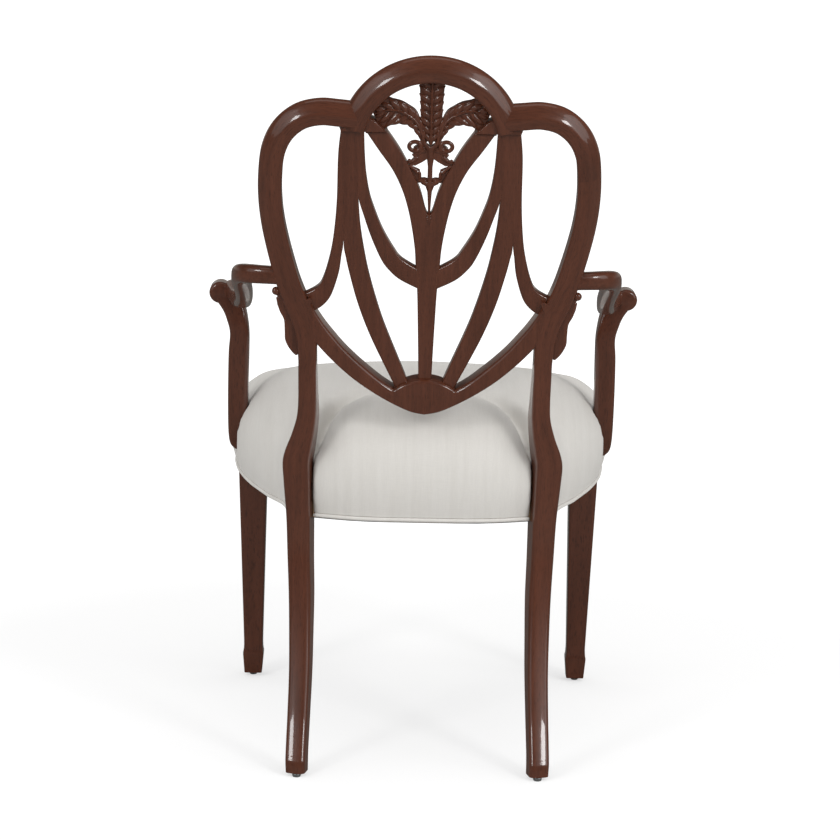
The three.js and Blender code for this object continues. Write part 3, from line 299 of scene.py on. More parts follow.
def board_data(outline, thick, inset, radius, steps=4, front=None):
    """A board sawn to an outline on the shield, with rounded edges, bent to the shield."""
    p = np.asarray(outline, float)
    behind = np.broadcast_to(np.asarray(radius, float), len(p))
    ahead = behind if front is None else np.full(len(p), front)
    layers = []
    for k in range(steps + 1):
        a = (math.pi / 2) * k / steps
        layers.append((-behind * (1 - math.sin(a)), inset + behind * (1 - math.cos(a))))
    for k in range(steps + 1):
        a = (math.pi / 2) * (1 - k / steps)
        layers.append((-ahead * (1 - math.sin(a)), inset + thick - ahead * (1 - math.cos(a))))
    rings, grain = [], []
    for off, w in layers:
        q = shifted(p, off[:, None])
        rings.append(on_back(q[:, 0], q[:, 1], w))
        grain.append(np.stack([q[:, 1], q[:, 0], w], -1))
    last = (len(layers) - 1) * len(p)
    faces = strips(len(layers), len(p)) + lids(shifted(p, layers[0][0][:, None]), last)
    return np.concatenate(rings), faces, np.concatenate(grain)


def seed_shift(seed):
    return [seed * 1.7, seed * 0.37, 0]


def board(name, outline, radius, seed, thick=0.016, inset=0.008, steps=4, front=None, pair=False):
    """A board on the shield, which stands for the node of the same name."""
    verts, faces, grain = board_data(outline, thick, inset, radius, steps, front)
    wooden(name, verts, faces, [name], grain + seed_shift(seed), 50, [0.71, 0.23, 0] if pair else None)


# Materials: helpers that fill a node's inputs with links or values, and return a socket
def fill(node, values):
    for key, value in values.items():
        if isinstance(value, bpy.types.NodeSocket):
            node.id_data.links.new(value, node.inputs[key])
        else:
            node.inputs[key].default_value = value
    return node


def add(tree, kind, values=None, **settings):
    node = tree.nodes.new("ShaderNode" + kind)
    for key, value in settings.items():
        setattr(node, key, value)
    return fill(node, values or {}).outputs


def material(name):
    m = bpy.data.materials.new(name)
    m.use_nodes = True
    return m, m.node_tree, m.node_tree.nodes["Principled BSDF"]


def ramp(tree, value, stops):
    node = tree.nodes.new("ShaderNodeValToRGB")
    stop_list = node.color_ramp.elements
    while len(stop_list) < len(stops):
        stop_list.new(0.5)
    for e, (at, colour) in zip(stop_list, stops):
        e.position = at
        e.color = (*colour, 1)
    return fill(node, {"Fac": value}).outputs["Color"]


def noise(tree, place, stretch, size, detail, rough=0.5, distortion=0.0):
    spread = add(tree, "Mapping", {"Vector": place, "Scale": stretch})["Vector"]
    return add(tree, "TexNoise", {"Vector": spread, "Scale": size, "Detail": detail, "Roughness": rough,
                                  "Distortion": distortion})["Fac"]


def compute(tree, operation, *values):
    return add(tree, "Math", dict(enumerate(values)), operation=operation)[0]


def remap(tree, value, low, high, start=0.0, end=1.0):
    """A value that runs from start to end, brought to run from low to high."""
    return add(tree, "MapRange", {"Value": value, "From Min": start, "From Max": end, "To Min": low,
                                  "To Max": high})["Result"]


def blend(tree, factor, first, second, kind="MIX"):
    return add(tree, "Mix", {"Factor": factor, "A": first, "B": second}, data_type="RGBA",
               blend_type=kind)["Result"]


def bump(tree, height, strength, distance):
    return add(tree, "Bump", {"Height": height, "Strength": strength, "Distance": distance})["Normal"]


def wood(name, dark, middle, light, roughness, coat, grained=True):
    m, tree, shader = material(name)
    if grained:
        place = add(tree, "Attribute", attribute_name="grain")["Vector"]
    else:
        place = add(tree, "TexCoord")["Object"]
    streaks = noise(tree, place, (0.05, 1, 1), 190, 5, 0.6, 0.4)
    bands = noise(tree, place, (0.12, 1, 1), 34, 4, 0.55, 0.8)
    cloud = noise(tree, place, (0.6, 1, 1), 9, 3)
    pore = noise(tree, place, (0.06, 1, 1), 1500, 2)
    figure = compute(tree, "MULTIPLY", cloud, 0.15)
    for part, share in ((bands, 0.4), (streaks, 0.45)):
        figure = compute(tree, "MULTIPLY_ADD", part, share, figure)
    colours = ramp(tree, figure, [(0.3, dark), (0.5, middle), (0.7, light)])
    dots = ramp(tree, pore, [(0.3, (0.45, 0.42, 0.4)), (0.46, (1, 1, 1))])
    fill(shader, {"Base Color": blend(tree, 0.75, colours, dots, "MULTIPLY"),
                  "Roughness": remap(tree, bands, roughness * 0.85, roughness * 1.2),
                  "Specular IOR Level": 0.3, "Coat Weight": coat, "Coat Roughness": 0.075, "Coat IOR": 1.5,
                  "Normal": bump(tree, pore, 0.05, 0.0004)})
    return m


def cloth(name, colour, shade, weave, fuzz, rough):
    m, tree, shader = material(name)
    place = add(tree, "TexCoord")["Object"]
    warp = noise(tree, place, (1, 0.05, 0.05), weave, 2)
    weft = noise(tree, place, (0.05, 1, 1), weave, 2)
    slub = noise(tree, place, (1, 0.06, 0.06), weave / 12, 3)
    threads = compute(tree, "ADD", warp, weft)
    tone = ramp(tree, slub, [(0.3, shade), (0.6, colour)])
    scaled = add(tree, "VectorMath", {0: tone, "Scale": remap(tree, threads, 0.95, 1.03, 0.6, 1.4)},
                 operation="SCALE")
    fill(shader, {"Base Color": scaled["Vector"], "Roughness": rough, "Specular IOR Level": 0.3,
                  "Sheen Weight": fuzz, "Sheen Roughness": 0.45,
                  "Normal": bump(tree, threads, 0.25, 0.0002)})
    return m


def steel(name):
    m, tree, shader = material(name)
    spots = noise(tree, add(tree, "TexCoord")["Object"], (1, 1, 1), 900, 4)
    fill(shader, {"Base Color": ramp(tree, spots, [(0.35, (0.42, 0.43, 0.45)), (0.65, (0.58, 0.59, 0.61))]),
                  "Roughness": remap(tree, spots, 0.25, 0.5), "Metallic": 1})
    return m


FINISH = {
    "mahogany": wood("mahogany", (0.053, 0.0148, 0.0064), (0.086, 0.024, 0.0104), (0.114, 0.0325, 0.0145),
                     0.36, 0.8),
    "beech": wood("beech", (0.36, 0.22, 0.12), (0.47, 0.31, 0.18), (0.56, 0.39, 0.24), 0.6, 0.0, False),
    "seat_cloth": cloth("seat_cloth", (0.63, 0.61, 0.575), (0.606, 0.585, 0.549), 1400, 0.12, 0.62),
    "cambric": cloth("cambric", (0.03, 0.03, 0.034), (0.018, 0.018, 0.02), 900, 0.1, 0.85),
    "jute": cloth("jute", (0.34, 0.24, 0.13), (0.22, 0.15, 0.075), 420, 0.2, 0.9),
    "foam": cloth("foam", (0.78, 0.7, 0.46), (0.7, 0.62, 0.4), 2600, 0.1, 0.95),
    "steel": steel("zinc_steel")}

# Sections run from the inner edge (0) to the outer edge (1000) and from the back (0) forward (1000)
FRONT = [
    (1000, 600), (1000, 800), (985, 930), (930, 985), (750, 1000), (500, 1000), (250, 1000), (60, 985),
    (10, 940), (0, 860), (0, 700)]
ROLLED = spline([
    (0, 500), (0, 300), (0, 160), (14, 85), (50, 30), (110, 4), (200, 0), (400, 2), (520, 30), (600, 80),
    (680, 150), (770, 245), (870, 350), (950, 460), (990, 560), (1000, 660), (985, 780), (940, 880),
    (860, 950), (750, 985), (600, 1000), (400, 1000), (200, 1000), (70, 985), (15, 940), (0, 860),
    (0, 700)], 3, closed=True) / 1000
SQUARE = spline([
    (0, 500), (0, 300), (0, 190), (13.3, 117), (51, 55.7), (108, 14.5), (175, 0), (300, 0), (450, 0),
    (600, 0), (720, 0), (810, 8), (910, 35), (970, 90), (995, 170),
    (1000, 350)] + FRONT, 3, closed=True) / 1000
ROUNDED = spline([
    (0, 500), (0, 380), (0, 280), (16, 190), (60, 105), (130, 45), (220, 17), (360, 3), (500, 0), (640, 3),
    (780, 17), (870, 45), (940, 105), (984, 190), (1000, 280), (1000, 400)] + FRONT, 3, closed=True) / 1000

SIDE_EDGE = [
    (417, 872), (530, 877), (635, 880), (743, 871), (826, 852), (900, 821), (954, 781), (987, 730),
    (1000, 654), (996, 589), (980, 531), (954, 474), (922, 417), (887, 362), (852, 319), (817, 283),
    (787, 246), (766, 205), (757, 157)]
SIDE_STEPS = 600
side_line = even(shield_line(SIDE_EDGE, 24), SIDE_STEPS + 1)
side_tangent = directions(side_line)
JOINT = 0.42


def side_ring(share):
    """The moulding's section at a share of the way from the shoulder's web down to the stile's foot."""
    at = share * SIDE_STEPS
    low = min(int(at), SIDE_STEPS - 1)
    t = at - low
    outer = side_line[low] * (1 - t) + side_line[low + 1] * t
    along = side_tangent[low] * (1 - t) + side_tangent[low + 1] * t
    inward = np.array([along[1], -along[0]]) / np.linalg.norm(along)
    section = SQUARE + (ROLLED - SQUARE) * smoothstep(outer[1] / TALL, 0.26, 0.62)
    width = LOW_BAND + (BAND - LOW_BAND) * smoothstep(outer[1] / TALL, 0.155, 0.27)
    place = outer + inward * (width * (1 - section[:, :1]))
    return on_back(place[:, 0], place[:, 1], section[:, 1] * THICK)


def arch_ring(angle):
    out = np.array([math.cos(angle), math.sin(angle)])
    outer = out * ARCH_OUT + [0, ARCH_CENTRE]
    place = outer - out * (BAND * (1 - ROLLED[:, :1]))
    return on_back(place[:, 0], place[:, 1], ROLLED[:, 1] * THICK)


def merged(parts):
    """Several solids' points, faces and, where they have it, grain as one."""
    starts = np.cumsum([0] + [len(part[0]) for part in parts]).tolist()
    faces = [tuple(i + at for i in one) for part, at in zip(parts, starts) for one in part[1]]
    verts, _, *grain = zip(*parts)
    return np.concatenate(verts), faces, *(np.concatenate(g) for g in grain)


# The crest: the arch, its two shoulders and the webs between them
shoulder_rings = [side_ring(t) for t in np.linspace(0, JOINT, 90)]
arch_rings = [arch_ring(a) for a in np.linspace(ARCH_START, math.pi - ARCH_START, 150)]
WEB = [
    (530, 812), (520, 799), (252, 799), (275, 807), (305, 820), (333, 832), (372, 838), (430, 845),
    (490, 840)]
web_verts, web_faces, web_grain = board_data(shield_points(WEB), 0.021, 0.0045, 0.0012)
shoulder_verts, shoulder_faces = loft_data(shoulder_rings)
crest_verts, crest_faces, crest_grain = merged([
    (*loft_data(arch_rings), loft_grain(arch_rings, 1.0)),
    (shoulder_verts, shoulder_faces, loft_grain(shoulder_rings, 2.0)),
    (flip(shoulder_verts), shoulder_faces, loft_grain(shoulder_rings, 3.0)),
    (web_verts, web_faces, web_grain),
    (flip(web_verts), web_faces, web_grain + [0.2, 0, 0])])
wooden("crest", crest_verts, crest_faces, ["crest_rail"], crest_grain)

# Rear leg and stile in one sweep: each station has a height, an outer edge, a width, a back edge,
# a depth and a turn, as shares of these measures
LEG_TALL, LEG_OUT, LEG_WIDE, LEG_DEEP, LEG_TURN = 0.42, 0.196, 0.038, 0.036, math.radians(13)
STATIONS = [
    (1.307, 0.889, 0.66, 0.666, 0.83, 0.3), (1.223, 0.889, 0.67, 0.643, 0.86, 0.5),
    (1.163, 0.899, 0.71, 0.625, 0.89, 0.75), (1.103, 0.934, 0.82, 0.609, 0.94, 0.9),
    (1.043, 0.982, 0.97, 0.593, 0.99, 1), (1, 1, 1, 0.583, 1, 1), (0.935, 0.992, 0.98, 0.572, 1, 1),
    (0.808, 0.969, 0.885, 0.561, 1, 1), (0.679, 0.957, 0.85, 0.574, 0.95, 1),
    (0.552, 0.944, 0.835, 0.611, 0.88, 1), (0.432, 0.935, 0.8, 0.662, 0.81, 1),
    (0.312, 0.929, 0.77, 0.727, 0.76, 1), (0.187, 0.932, 0.75, 0.804, 0.73, 1),
    (0.125, 0.935, 0.745, 0.8495, 0.72, 1), (0.0738, 0.937, 0.74, 0.8905, 0.71, 1),
    (0.06, 0.937, 0.74, 0.9022, 0.71, 1), (0.046, 0.937, 0.74, 0.9115, 0.71, 1),
    (0.0119, 0.933, 0.72, 0.919, 0.7, 1)]
stations = spline(STATIONS, 9)


def leg_ring(station):
    height, outer, width, back, deep, turned = station
    a = turned * LEG_TURN
    wide, thick = width * LEG_WIDE, deep * LEG_DEEP
    across = np.array([math.cos(a), -math.sin(a), 0])
    forward = np.array([-math.sin(a), -math.cos(a), 0])
    middle = np.array([outer * LEG_OUT - wide / 2 * math.cos(a), back * BACK, height * LEG_TALL])
    section = SQUARE + (ROUNDED - SQUARE) * (1 - smoothstep(height, 0.5, 0.79))
    return middle + across * ((section[:, :1] - 0.5) * wide) + forward * (section[:, 1:] * thick)


stile_rings = [side_ring(t) for t in np.linspace(JOINT, 1, 110)]
leg_rings = [leg_ring(s) for s in stations]
bridge_ends = np.array([stile_rings[-12], stile_rings[-1], leg_rings[0], leg_rings[9]])
bridge = spline(bridge_ends.reshape(4, -1), 8).reshape(-1, len(SQUARE), 3)[9:16]
loft("stile", stile_rings + list(bridge) + leg_rings, ["rear_stile"], 4.0)

# Lower rail and boss
BASE_OUTER = [(0, 0), (90, 9), (209, 35), (328, 68), (446, 108), (565, 159), (678, 217), (740, 252)]
BASE_INNER = [
    (268, 96), (386, 142), (480, 184), (552.8, 223.5), (589.1, 244.5), (613.2, 260), (640.3, 279),
    (668, 301), (700, 333)]
HUB_SPAN, HUB_RISE, HUB_TOP = 0.042, 0.015, 0.0506
hub_radius = (HUB_SPAN ** 2 + HUB_RISE ** 2) / (2 * HUB_RISE)
hub_sweep = math.asin(HUB_SPAN / hub_radius)
hub_arc = np.array([[hub_radius * math.sin(a), HUB_TOP - hub_radius + hub_radius * math.cos(a)]
                    for a in np.linspace(hub_sweep, 0, 20)])
base_half = np.vstack([shield_line(BASE_OUTER, 8),
                       spline(np.vstack([hub_arc[:1], shield_points(BASE_INNER)]), 8)[::-1], hub_arc[1:]])
OUTER_ROUND, INNER_ROUND, HUB_ROUND = 0.0022, 0.0062, 0.0050
base_round = np.full(len(base_half), INNER_ROUND)
base_round[:(len(BASE_OUTER) - 1) * 8 + 1] = OUTER_ROUND
base_round[-len(hub_arc) + 1:] = HUB_ROUND
base_round = np.concatenate([base_round, base_round[1:-1][::-1]])
board("shield_base", symmetric(base_half), base_round, 5.0, thick=THICK - 0.0004, inset=0.0002, steps=7,
      front=OUTER_ROUND)

# Ribs, swags and splat
TOP_SHARE = 1000 * SEAM / TALL
SWAG_SEAM = [(483, TOP_SHARE), (487, 634), (496, 493)]
INNER_SEAM = [(430, TOP_SHARE), (424, 689), (415, 618)]
LONG_OUT = SWAG_SEAM + [
    (481, 441), (451, 383), (416, 325), (373, 268), (321, 210), (261, 152), (182, 78), (165, 55)]
LONG_IN = INNER_SEAM + [
    (398, 528), (365, 440), (336, 383), (300, 325), (260, 268), (211, 210), (159, 152), (107, 92), (85, 55)]
SWAG_IN_OUT = INNER_SEAM + [(374, 553), (330, 496), (275, 440), (230, 411), (161, 383), (40, 355)]
SWAG_IN_IN = [
    (386, TOP_SHARE), (380, 732), (370, 679), (350, 626), (324, 587), (270, 525), (200, 469), (150, 440),
    (40, 410)]
SWAG_OUT_OUT = [
    (520, TOP_SHARE), (535, 728), (539, 610), (551, 524), (572, 454), (611, 386), (652, 356), (760, 329)]
SWAG_OUT_IN = SWAG_SEAM + [
    (507, 449), (517.5, 409), (534, 377.5), (552.4, 350), (574.3, 326.8), (606, 308.7), (641, 295.8),
    (683, 285.9), (720, 278)]
SPLAT = [
    (378, TOP_SHARE), (303, 748), (219, 693), (160, 637), (122, 581), (96, 524), (78, 468), (70, 413),
    (59, 354), (49, 239), (41, 123), (41, 85)]
VEE = [(0, 567), (20, 581), (55, 637), (107, 689), (176, 748), (252, TOP_SHARE)]
RIB_ROUND = 0.0026


def rib_round(outer, inner, outer_joined, inner_joined):
    """How far a rib's edges are rounded: not along a joint with the next rib, nor at the arch."""
    sizes = []
    for line, joined in ((outer, outer_joined), (inner, inner_joined)):
        k = np.arange((len(line) - 1) * 8 + 1)
        first, last = (15.0, 23.0) if joined else (0.0, 2.0)
        sizes.append(RIB_ROUND * smoothstep(k, first, last))
    return np.concatenate([sizes[0], sizes[1][::-1]])


for name, outer, inner, outer_joined, inner_joined in (
        ("long_rib", LONG_OUT, LONG_IN, True, True),
        ("inner_swag", SWAG_IN_OUT, SWAG_IN_IN, True, False),
        ("outer_swag", SWAG_OUT_OUT, SWAG_OUT_IN, False, True)):
    outline = np.vstack([shield_line(outer, 8), shield_line(inner, 8)[::-1]])
    board(name, outline, rib_round(outer, inner, outer_joined, inner_joined), 6.0, pair=True)
splat_half = np.vstack([shield_line(VEE, 8), shield_line(SPLAT, 8)])
board("centre_splat", symmetric(splat_half), RIB_ROUND, 9.0)


# Fused and carved pieces; their widths, depths and levels are in millimetres
def fused(parts, voxel, rounds):
    """One closed skin round overlapping solids."""
    obj = as_object("fused", *merged(parts))
    add_skin(obj, voxel, rounds)
    return baked(obj)


def lobe(line, wide, deep, level, count=22, sides=12):
    """A tapering leaf or cord along a line in shield shares; its sizes change along the line."""
    p = even(shield_line(line, 10), count)
    along = directions(p)
    cos, sin = circle(sides).T
    t = np.linspace(0, 1, count)
    w, d, z = (np.interp(t, np.linspace(0, 1, len(v)), np.array(v, float) / 1000)[:, None]
               for v in map(np.atleast_1d, (wide, deep, level)))
    out = w * cos
    x, y = p[:, :1] - along[:, 1:] * out, p[:, 1:] + along[:, :1] * out
    return loft_data(np.stack([x, y, z + d * sin], -1))


def ring_cord(centre, half, wide, deep, level, count=28, sides=12):
    """A closed loop of cord round an ellipse in shield shares."""
    centre, half = shield_points([centre, half])
    cos, sin = circle(sides).T
    rings = [at_height(centre + out * half + np.outer(wide / 1000 * cos, out), (level + deep * sin) / 1000)
             for out in circle(count)]
    return np.concatenate(rings), strips(count, sides, True)


def bead(centre, radius, level, steps=10, sides=14):
    """A small ball; its centre in shield shares."""
    r = radius / 1000
    angles = [math.pi * (0.02 + 0.96 * k / steps) for k in range(steps + 1)]
    return loft_data([at_height(shield_points(centre) + r * math.sin(a) * circle(sides),
                                level / 1000 + r * math.cos(a)) for a in angles])


def plate(outline, front, back):
    """A flat plate between two levels; its outline in metres on the shield."""
    n = len(outline)
    verts = np.vstack([at_height(outline, level / 1000) for level in (front, back)])
    return verts, strips(2, n) + lids(outline, n)


def both(parts):
    """The parts of one half and their mirror images."""
    return parts + [(flip(v), [tuple(reversed(f)) for f in faces]) for v, faces in parts]


def carved(name, parts, nodes, seed, voxel=0.0004, rounds=2, pair=False):
    """A piece carved flat and then bent to the shield."""
    verts, faces = fused(parts, voxel, rounds)
    wooden(name, on_back(*verts.T), faces, nodes, verts[:, [1, 0, 2]] + seed_shift(seed), 180,
           [0.31, 0.11, 0] if pair else None)


FEATHER_LEVEL = 11.6


def feather(spine, edge, barbs, lead, wide, first=0.06, last=0.84):
    """Barbs that overlap towards the tip, on one side of a feather, from its spine out to its edge."""
    s, e = (even(shield_line(line, 10), 200) for line in (spine, edge))
    levels = [FEATHER_LEVEL + rise for rise in (1.5, 0.9, 0.6, 0.7, 1.4)]
    parts = []
    for k in range(barbs):
        t = first + (last - first) * k / (barbs - 1)
        a, b = s[int(t * 199)], e[min(int((t + lead) * 199), 199)]
        t2 = min(t + lead * 0.35, 1)
        middle = (a + b) / 2 * 0.62 + s[int(t2 * 199)] * 0.19 + e[int(t2 * 199)] * 0.19
        size = wide * (0.8 + 0.2 * math.sin(math.pi * t))
        parts.append(lobe(np.array([a, middle, b]) / [HALF, TALL] * 1000,
                          [0.6 * size, size, 1.05 * size, 0.8 * size, 0.2], [1.2, 2.9, 3.6, 3.0, 0.9],
                          levels, 16))
    return parts


# The feathers: a plate, a raised spine and barbs
CENTRE_SPINE = [(0, 764), (0, 800), (0, 850), (0, 900), (0, 944)]
CENTRE_EDGE = [(12, 764), (32, 786), (54, 820), (66, 844), (67, 870), (72, 900), (77, 944)]
CENTRE_RIM = [(a + 2, b) for a, b in CENTRE_EDGE]
centre_edge = shield_line([(a - 3, b) for a, b in CENTRE_EDGE], 8)
carved("centre_feather", [plate(symmetric(centre_edge), 12.0, 20.5),
                          lobe(CENTRE_SPINE, [1.7, 1.5, 1.4, 1.4, 1.5], [2.2, 2.4, 2.4, 2.4, 2.2], 10.6)]
       + both(feather(CENTRE_SPINE, CENTRE_RIM, 8, 0.15, 4.3, 0.04, 0.87)), ["plume_centre"], 10.0)
SIDE_SPINE = [(35, 764), (50, 790), (85, 825), (140, 846), (200, 856), (255, 857), (295, 852), (330, 846)]
SIDE_UPPER = [
    (20, 770), (45, 805), (82, 850), (131, 868), (175, 879), (220, 884), (258, 887), (310, 869), (341, 852)]
SIDE_LOWER = [
    (50, 764), (67, 779), (100, 805), (130, 815), (155, 819.5), (205, 818.5), (250, 811), (268, 804),
    (298, 812), (318, 826), (329, 838)]
side_plate = np.vstack([shield_line(SIDE_UPPER, 6), shield_line(SIDE_LOWER, 6)[::-1]])
carved("side_feather", [plate(side_plate, 12.2, 20.5),
                        lobe(SIDE_SPINE, [1.9, 1.6, 1.5, 1.3, 0.9], [2.0, 2.3, 2.3, 2.1, 1.4], 10.8)]
       + feather(SIDE_SPINE, SIDE_UPPER, 8, 0.14, 4.0)
       + feather(SIDE_SPINE, SIDE_LOWER, 7, 0.16, 3.8, 0.12), ["plume"], 11.0, pair=True)

# The ribbon bow: knot, two loops with an eye each, tails with curled ends, and the stem
BOW_HALF = [
    (0, 757), (20, 763), (50, 770), (100, 752), (95, 738), (90, 728), (118, 713), (116, 704), (87, 703),
    (44, 714), (20, 722), (14, 700), (14, 662), (0, 662)]
FRAME = [
    (124, 708), (112, 689.5), (90, 670), (73, 655.5), (53.5, 656), (51.5, 668.7), (59, 690), (78, 694.5),
    (104, 699)]
bow_side = [ring_cord((90.5, 757.8), (34.5, 12.8), 2.9, 3.0, 11.8),
            lobe([(0, 748), (30, 762), (55, 776)], [3.4, 3.4, 2.4], [3.0, 3.0, 2.2], 12.8),
            lobe([(30, 748), (70, 742), (100, 730)], [4, 4, 3.0], [2.6, 2.6, 2.4], 13.2),
            lobe([(75, 728), (100, 718), (124, 712), (142, 716)], [2.4, 2.2, 2.0, 1.2],
                 [2.4, 2.4, 2.2, 1.2], 12.4),
            bead((122, 718.5), 2.5, 11.6), bead((108, 716.5), 1.7, 11.2),
            lobe([(125, 704), (100, 697), (78, 689.5), (60, 683), (57, 669)],
                 [1.6, 2.2, 2.4, 2.0, 1.6], [1.8, 2.4, 2.6, 2.2, 1.6], 12.4),
            bead((75, 686.5), 2.2, 11.4), bead((94, 695), 1.8, 11.4)]
carved("bow", [plate(symmetric(shield_points(BOW_HALF)), 12.6, 19.5),
               lobe([(0, 755), (0, 720), (0, 660)], [4.2, 3.2, 2.7], [2.6, 2.2, 2.0], 12.6)]
       + both(bow_side) + both([plate(shield_points(FRAME), 12.8, 19.0)]), ["ribbon_bow"], 12.0)

# The husk: two small leaves across the vee and a stem that tapers down to its point
HUSK_HALF = [
    (0, 664), (30, 668), (66, 667), (62, 660), (48, 652), (26, 647), (14, 632), (8, 600), (6, 566),
    (0, 556)]
husk_leaf = [lobe([(0, 650), (30, 656.5), (70, 665.5)], [3.4, 2.9, 1.2], [2.6, 2.6, 1.6], 12.8),
             bead((26, 661.5), 1.5, 11.6)]
carved("husk", [plate(symmetric(shield_points(HUSK_HALF)), 12.8, 19.5),
                lobe([(0, 668), (0, 640), (0, 610), (0, 556)], [3.2, 3.0, 2.0, 1.3],
                     [2.8, 2.6, 2.2, 1.6], 12.4)] + both(husk_leaf), ["husk_drop"], 13.0)

# A small carved leaf where the husk's stem ends
tip_leaf = [lobe([(0, 569), (0, 555), (0, 541)], [1.2, 1.7, 0.5], [0.9, 1.2, 0.3], 8.0, 16, 10)]
for v in (565, 557.5, 550):
    tip_leaf += both([lobe([(1, v), (8, v + 2), (13, v + 6)], [0.7, 1.0, 0.3],
                           [0.7, 0.9, 0.2], 8.0, 10, 8)])
carved("splat_leaf", tip_leaf, [], 13.5, voxel=0.0003, rounds=1)

# Leaf brackets below the arms, each with a ball at its top
BRACKET = [
    (860, 345), (895, 343), (886, 334), (879, 325), (883, 313), (868, 288), (843, 264), (838, 230),
    (834, 204), (802, 176), (762, 162), (750, 200), (780, 260), (820, 310)]
bracket_outline = even(spline(shield_points(BRACKET), 8, closed=True), 150, closed=True)
carved("leaf_bracket", [plate(bracket_outline, 7.2, 22.8), bead((889.5, 345.5), 5.9, 9.0, 14),
                        lobe([(878, 328), (868, 305), (858, 285)], [3.0, 3.2, 1.5],
                             [2.6, 2.4, 1.0], 8.8)], ["leaf_bracket"], 14.0, 0.0007, 5, True)


# Arms, their supports and the front legs
def rounded_section(count, power):
    """A unit section between a circle (power 2) and a square (high power)."""
    c = circle(count)
    return 0.5 * np.sign(c) * np.abs(c) ** (2 / power)


# Each station of an arm has its way out, back and down, and a share of its width and of its height
ARM_REACH, JOINT_HEIGHT, KNUCKLE_HEIGHT = 0.3, 0.687, 0.616
ARM_WIDE, ARM_HIGH = 0.026, 0.027
ARM_STATIONS = [
    (0.62, 0.722, 0.02, 1, 0.9), (0.74, 0.706, 0.03, 1, 0.92), (0.806, 0.671, 0.02, 1, 0.96),
    (0.845, 0.6, -0.03, 0.96, 1), (0.855, 0.5, -0.18, 0.96, 1), (0.85, 0.354, -0.43, 0.96, 1),
    (0.852, 0.193, -0.68, 0.98, 1), (0.866, 0.032, -0.89, 1.02, 1), (0.882, -0.1, -0.97, 1.06, 1.02),
    (0.898, -0.2, -0.97, 1.12, 1.04), (0.912, -0.28, -0.96, 1.16, 1.04), (0.924, -0.36, -0.95, 1.12, 1),
    (0.928, -0.41, -0.95, 0.8, 0.72)]
KNUCKLE_AT, KNUCKLE_RADIUS, KNUCKLE_LONG = (0.991, -0.35, -1), 0.0158, 0.042
KNUCKLE_END = [(0.5, 0), (0.76, 0.0006), (0.9, 0.0019), (0.97, 0.0034), (1, 0.0058)]


def arm_place(side, back, fall):
    return np.stack([side * ARM_REACH, back * BACK,
                     JOINT_HEIGHT + fall * (JOINT_HEIGHT - KNUCKLE_HEIGHT)], -1)


arm_stations = spline(ARM_STATIONS, 8)
arm_line = arm_place(*arm_stations[:, :3].T)
arm_section = rounded_section(36, 2.9)
arm_rings = []
for at, along, (wide, high) in zip(arm_line, directions(arm_line), arm_stations[:, 3:]):
    across = np.cross(along, (0, 0, 1))
    across /= np.linalg.norm(across)
    arm_rings.append(at + np.outer(arm_section[:, 0] * wide * ARM_WIDE, across)
                     + np.outer(arm_section[:, 1] * high * ARM_HIGH, np.cross(across, along)))

# The knuckle is turned, with its axis from front to back; its profile is (radius, distance)
knuckle_x, knuckle_y, knuckle_z = arm_place(*KNUCKLE_AT) + [0, KNUCKLE_LONG / 2, 0]
knuckle_end = [(0.0002, -0.0004)] + [(share * KNUCKLE_RADIUS, far) for share, far in KNUCKLE_END]
profile = knuckle_end + [(r, KNUCKLE_LONG - far) for r, far in reversed(knuckle_end)]
knuckle = loft_data([at_height([knuckle_x, knuckle_z] + r * circle(40), knuckle_y - far)[:, [0, 2, 1]]
                     for r, far in profile])
arm_verts, arm_faces = fused([loft_data(arm_rings), knuckle], 0.0010, 5)

# Grain that runs along the arm, from the nearest place on its middle line
arm_far, arm_directions = distances(arm_line), directions(arm_line)
arm_grain = np.column_stack([np.empty(len(arm_verts)), arm_verts[:, 0], arm_verts[:, 2]]) + [0.9, 0, 0]
for start in range(0, len(arm_verts), 4000):
    part = arm_verts[start:start + 4000]
    near = np.argmin(((part[:, None] - arm_line[None]) ** 2).sum(-1), 1)
    past = ((part - arm_line[near]) * arm_directions[near]).sum(1)
    arm_grain[start:start + 4000, 0] = arm_far[near] + past + 0.9
wooden("arm", arm_verts, arm_faces, ["arm"], arm_grain, 180, [0.37, 0.13, 0])

SUPPORT_CENTRE, SUPPORT_BACK, SUPPORT_BOTTOM, SUPPORT_TOP = 0.27, 0.112, 0.379, 0.6097
SUPPORT_WIDE, SUPPORT_DEEP = 0.030, 0.034
SUPPORT_STATIONS = [
    (0, 1.004, -1.05, 0.2, 0.25), (0.034, 1, -1.05, 0.72, 0.6), (0.1, 0.998, -1.03, 0.95, 0.88),
    (0.227, 0.999, -1, 1, 1), (0.437, 0.999, -0.93, 1, 1), (0.647, 0.996, -0.87, 1, 0.97),
    (0.773, 0.993, -0.86, 0.94, 0.98), (0.857, 1.006, -0.88, 1.02, 1.06), (0.925, 1.026, -0.92, 1.14, 1.14),
    (1, 1.062, -0.96, 1.4, 1.2)]
support_stations = spline(SUPPORT_STATIONS, 9)
block = rounded_section(44, 6)
support_rings = [at_height([side * SUPPORT_CENTRE, back * SUPPORT_BACK]
                           + block * [wide, deep] * [SUPPORT_WIDE, SUPPORT_DEEP],
                           SUPPORT_BOTTOM + up * (SUPPORT_TOP - SUPPORT_BOTTOM))
                 for up, side, back, wide, deep in support_stations]
loft("arm_support", support_rings, ["arm_support"], 15.0)

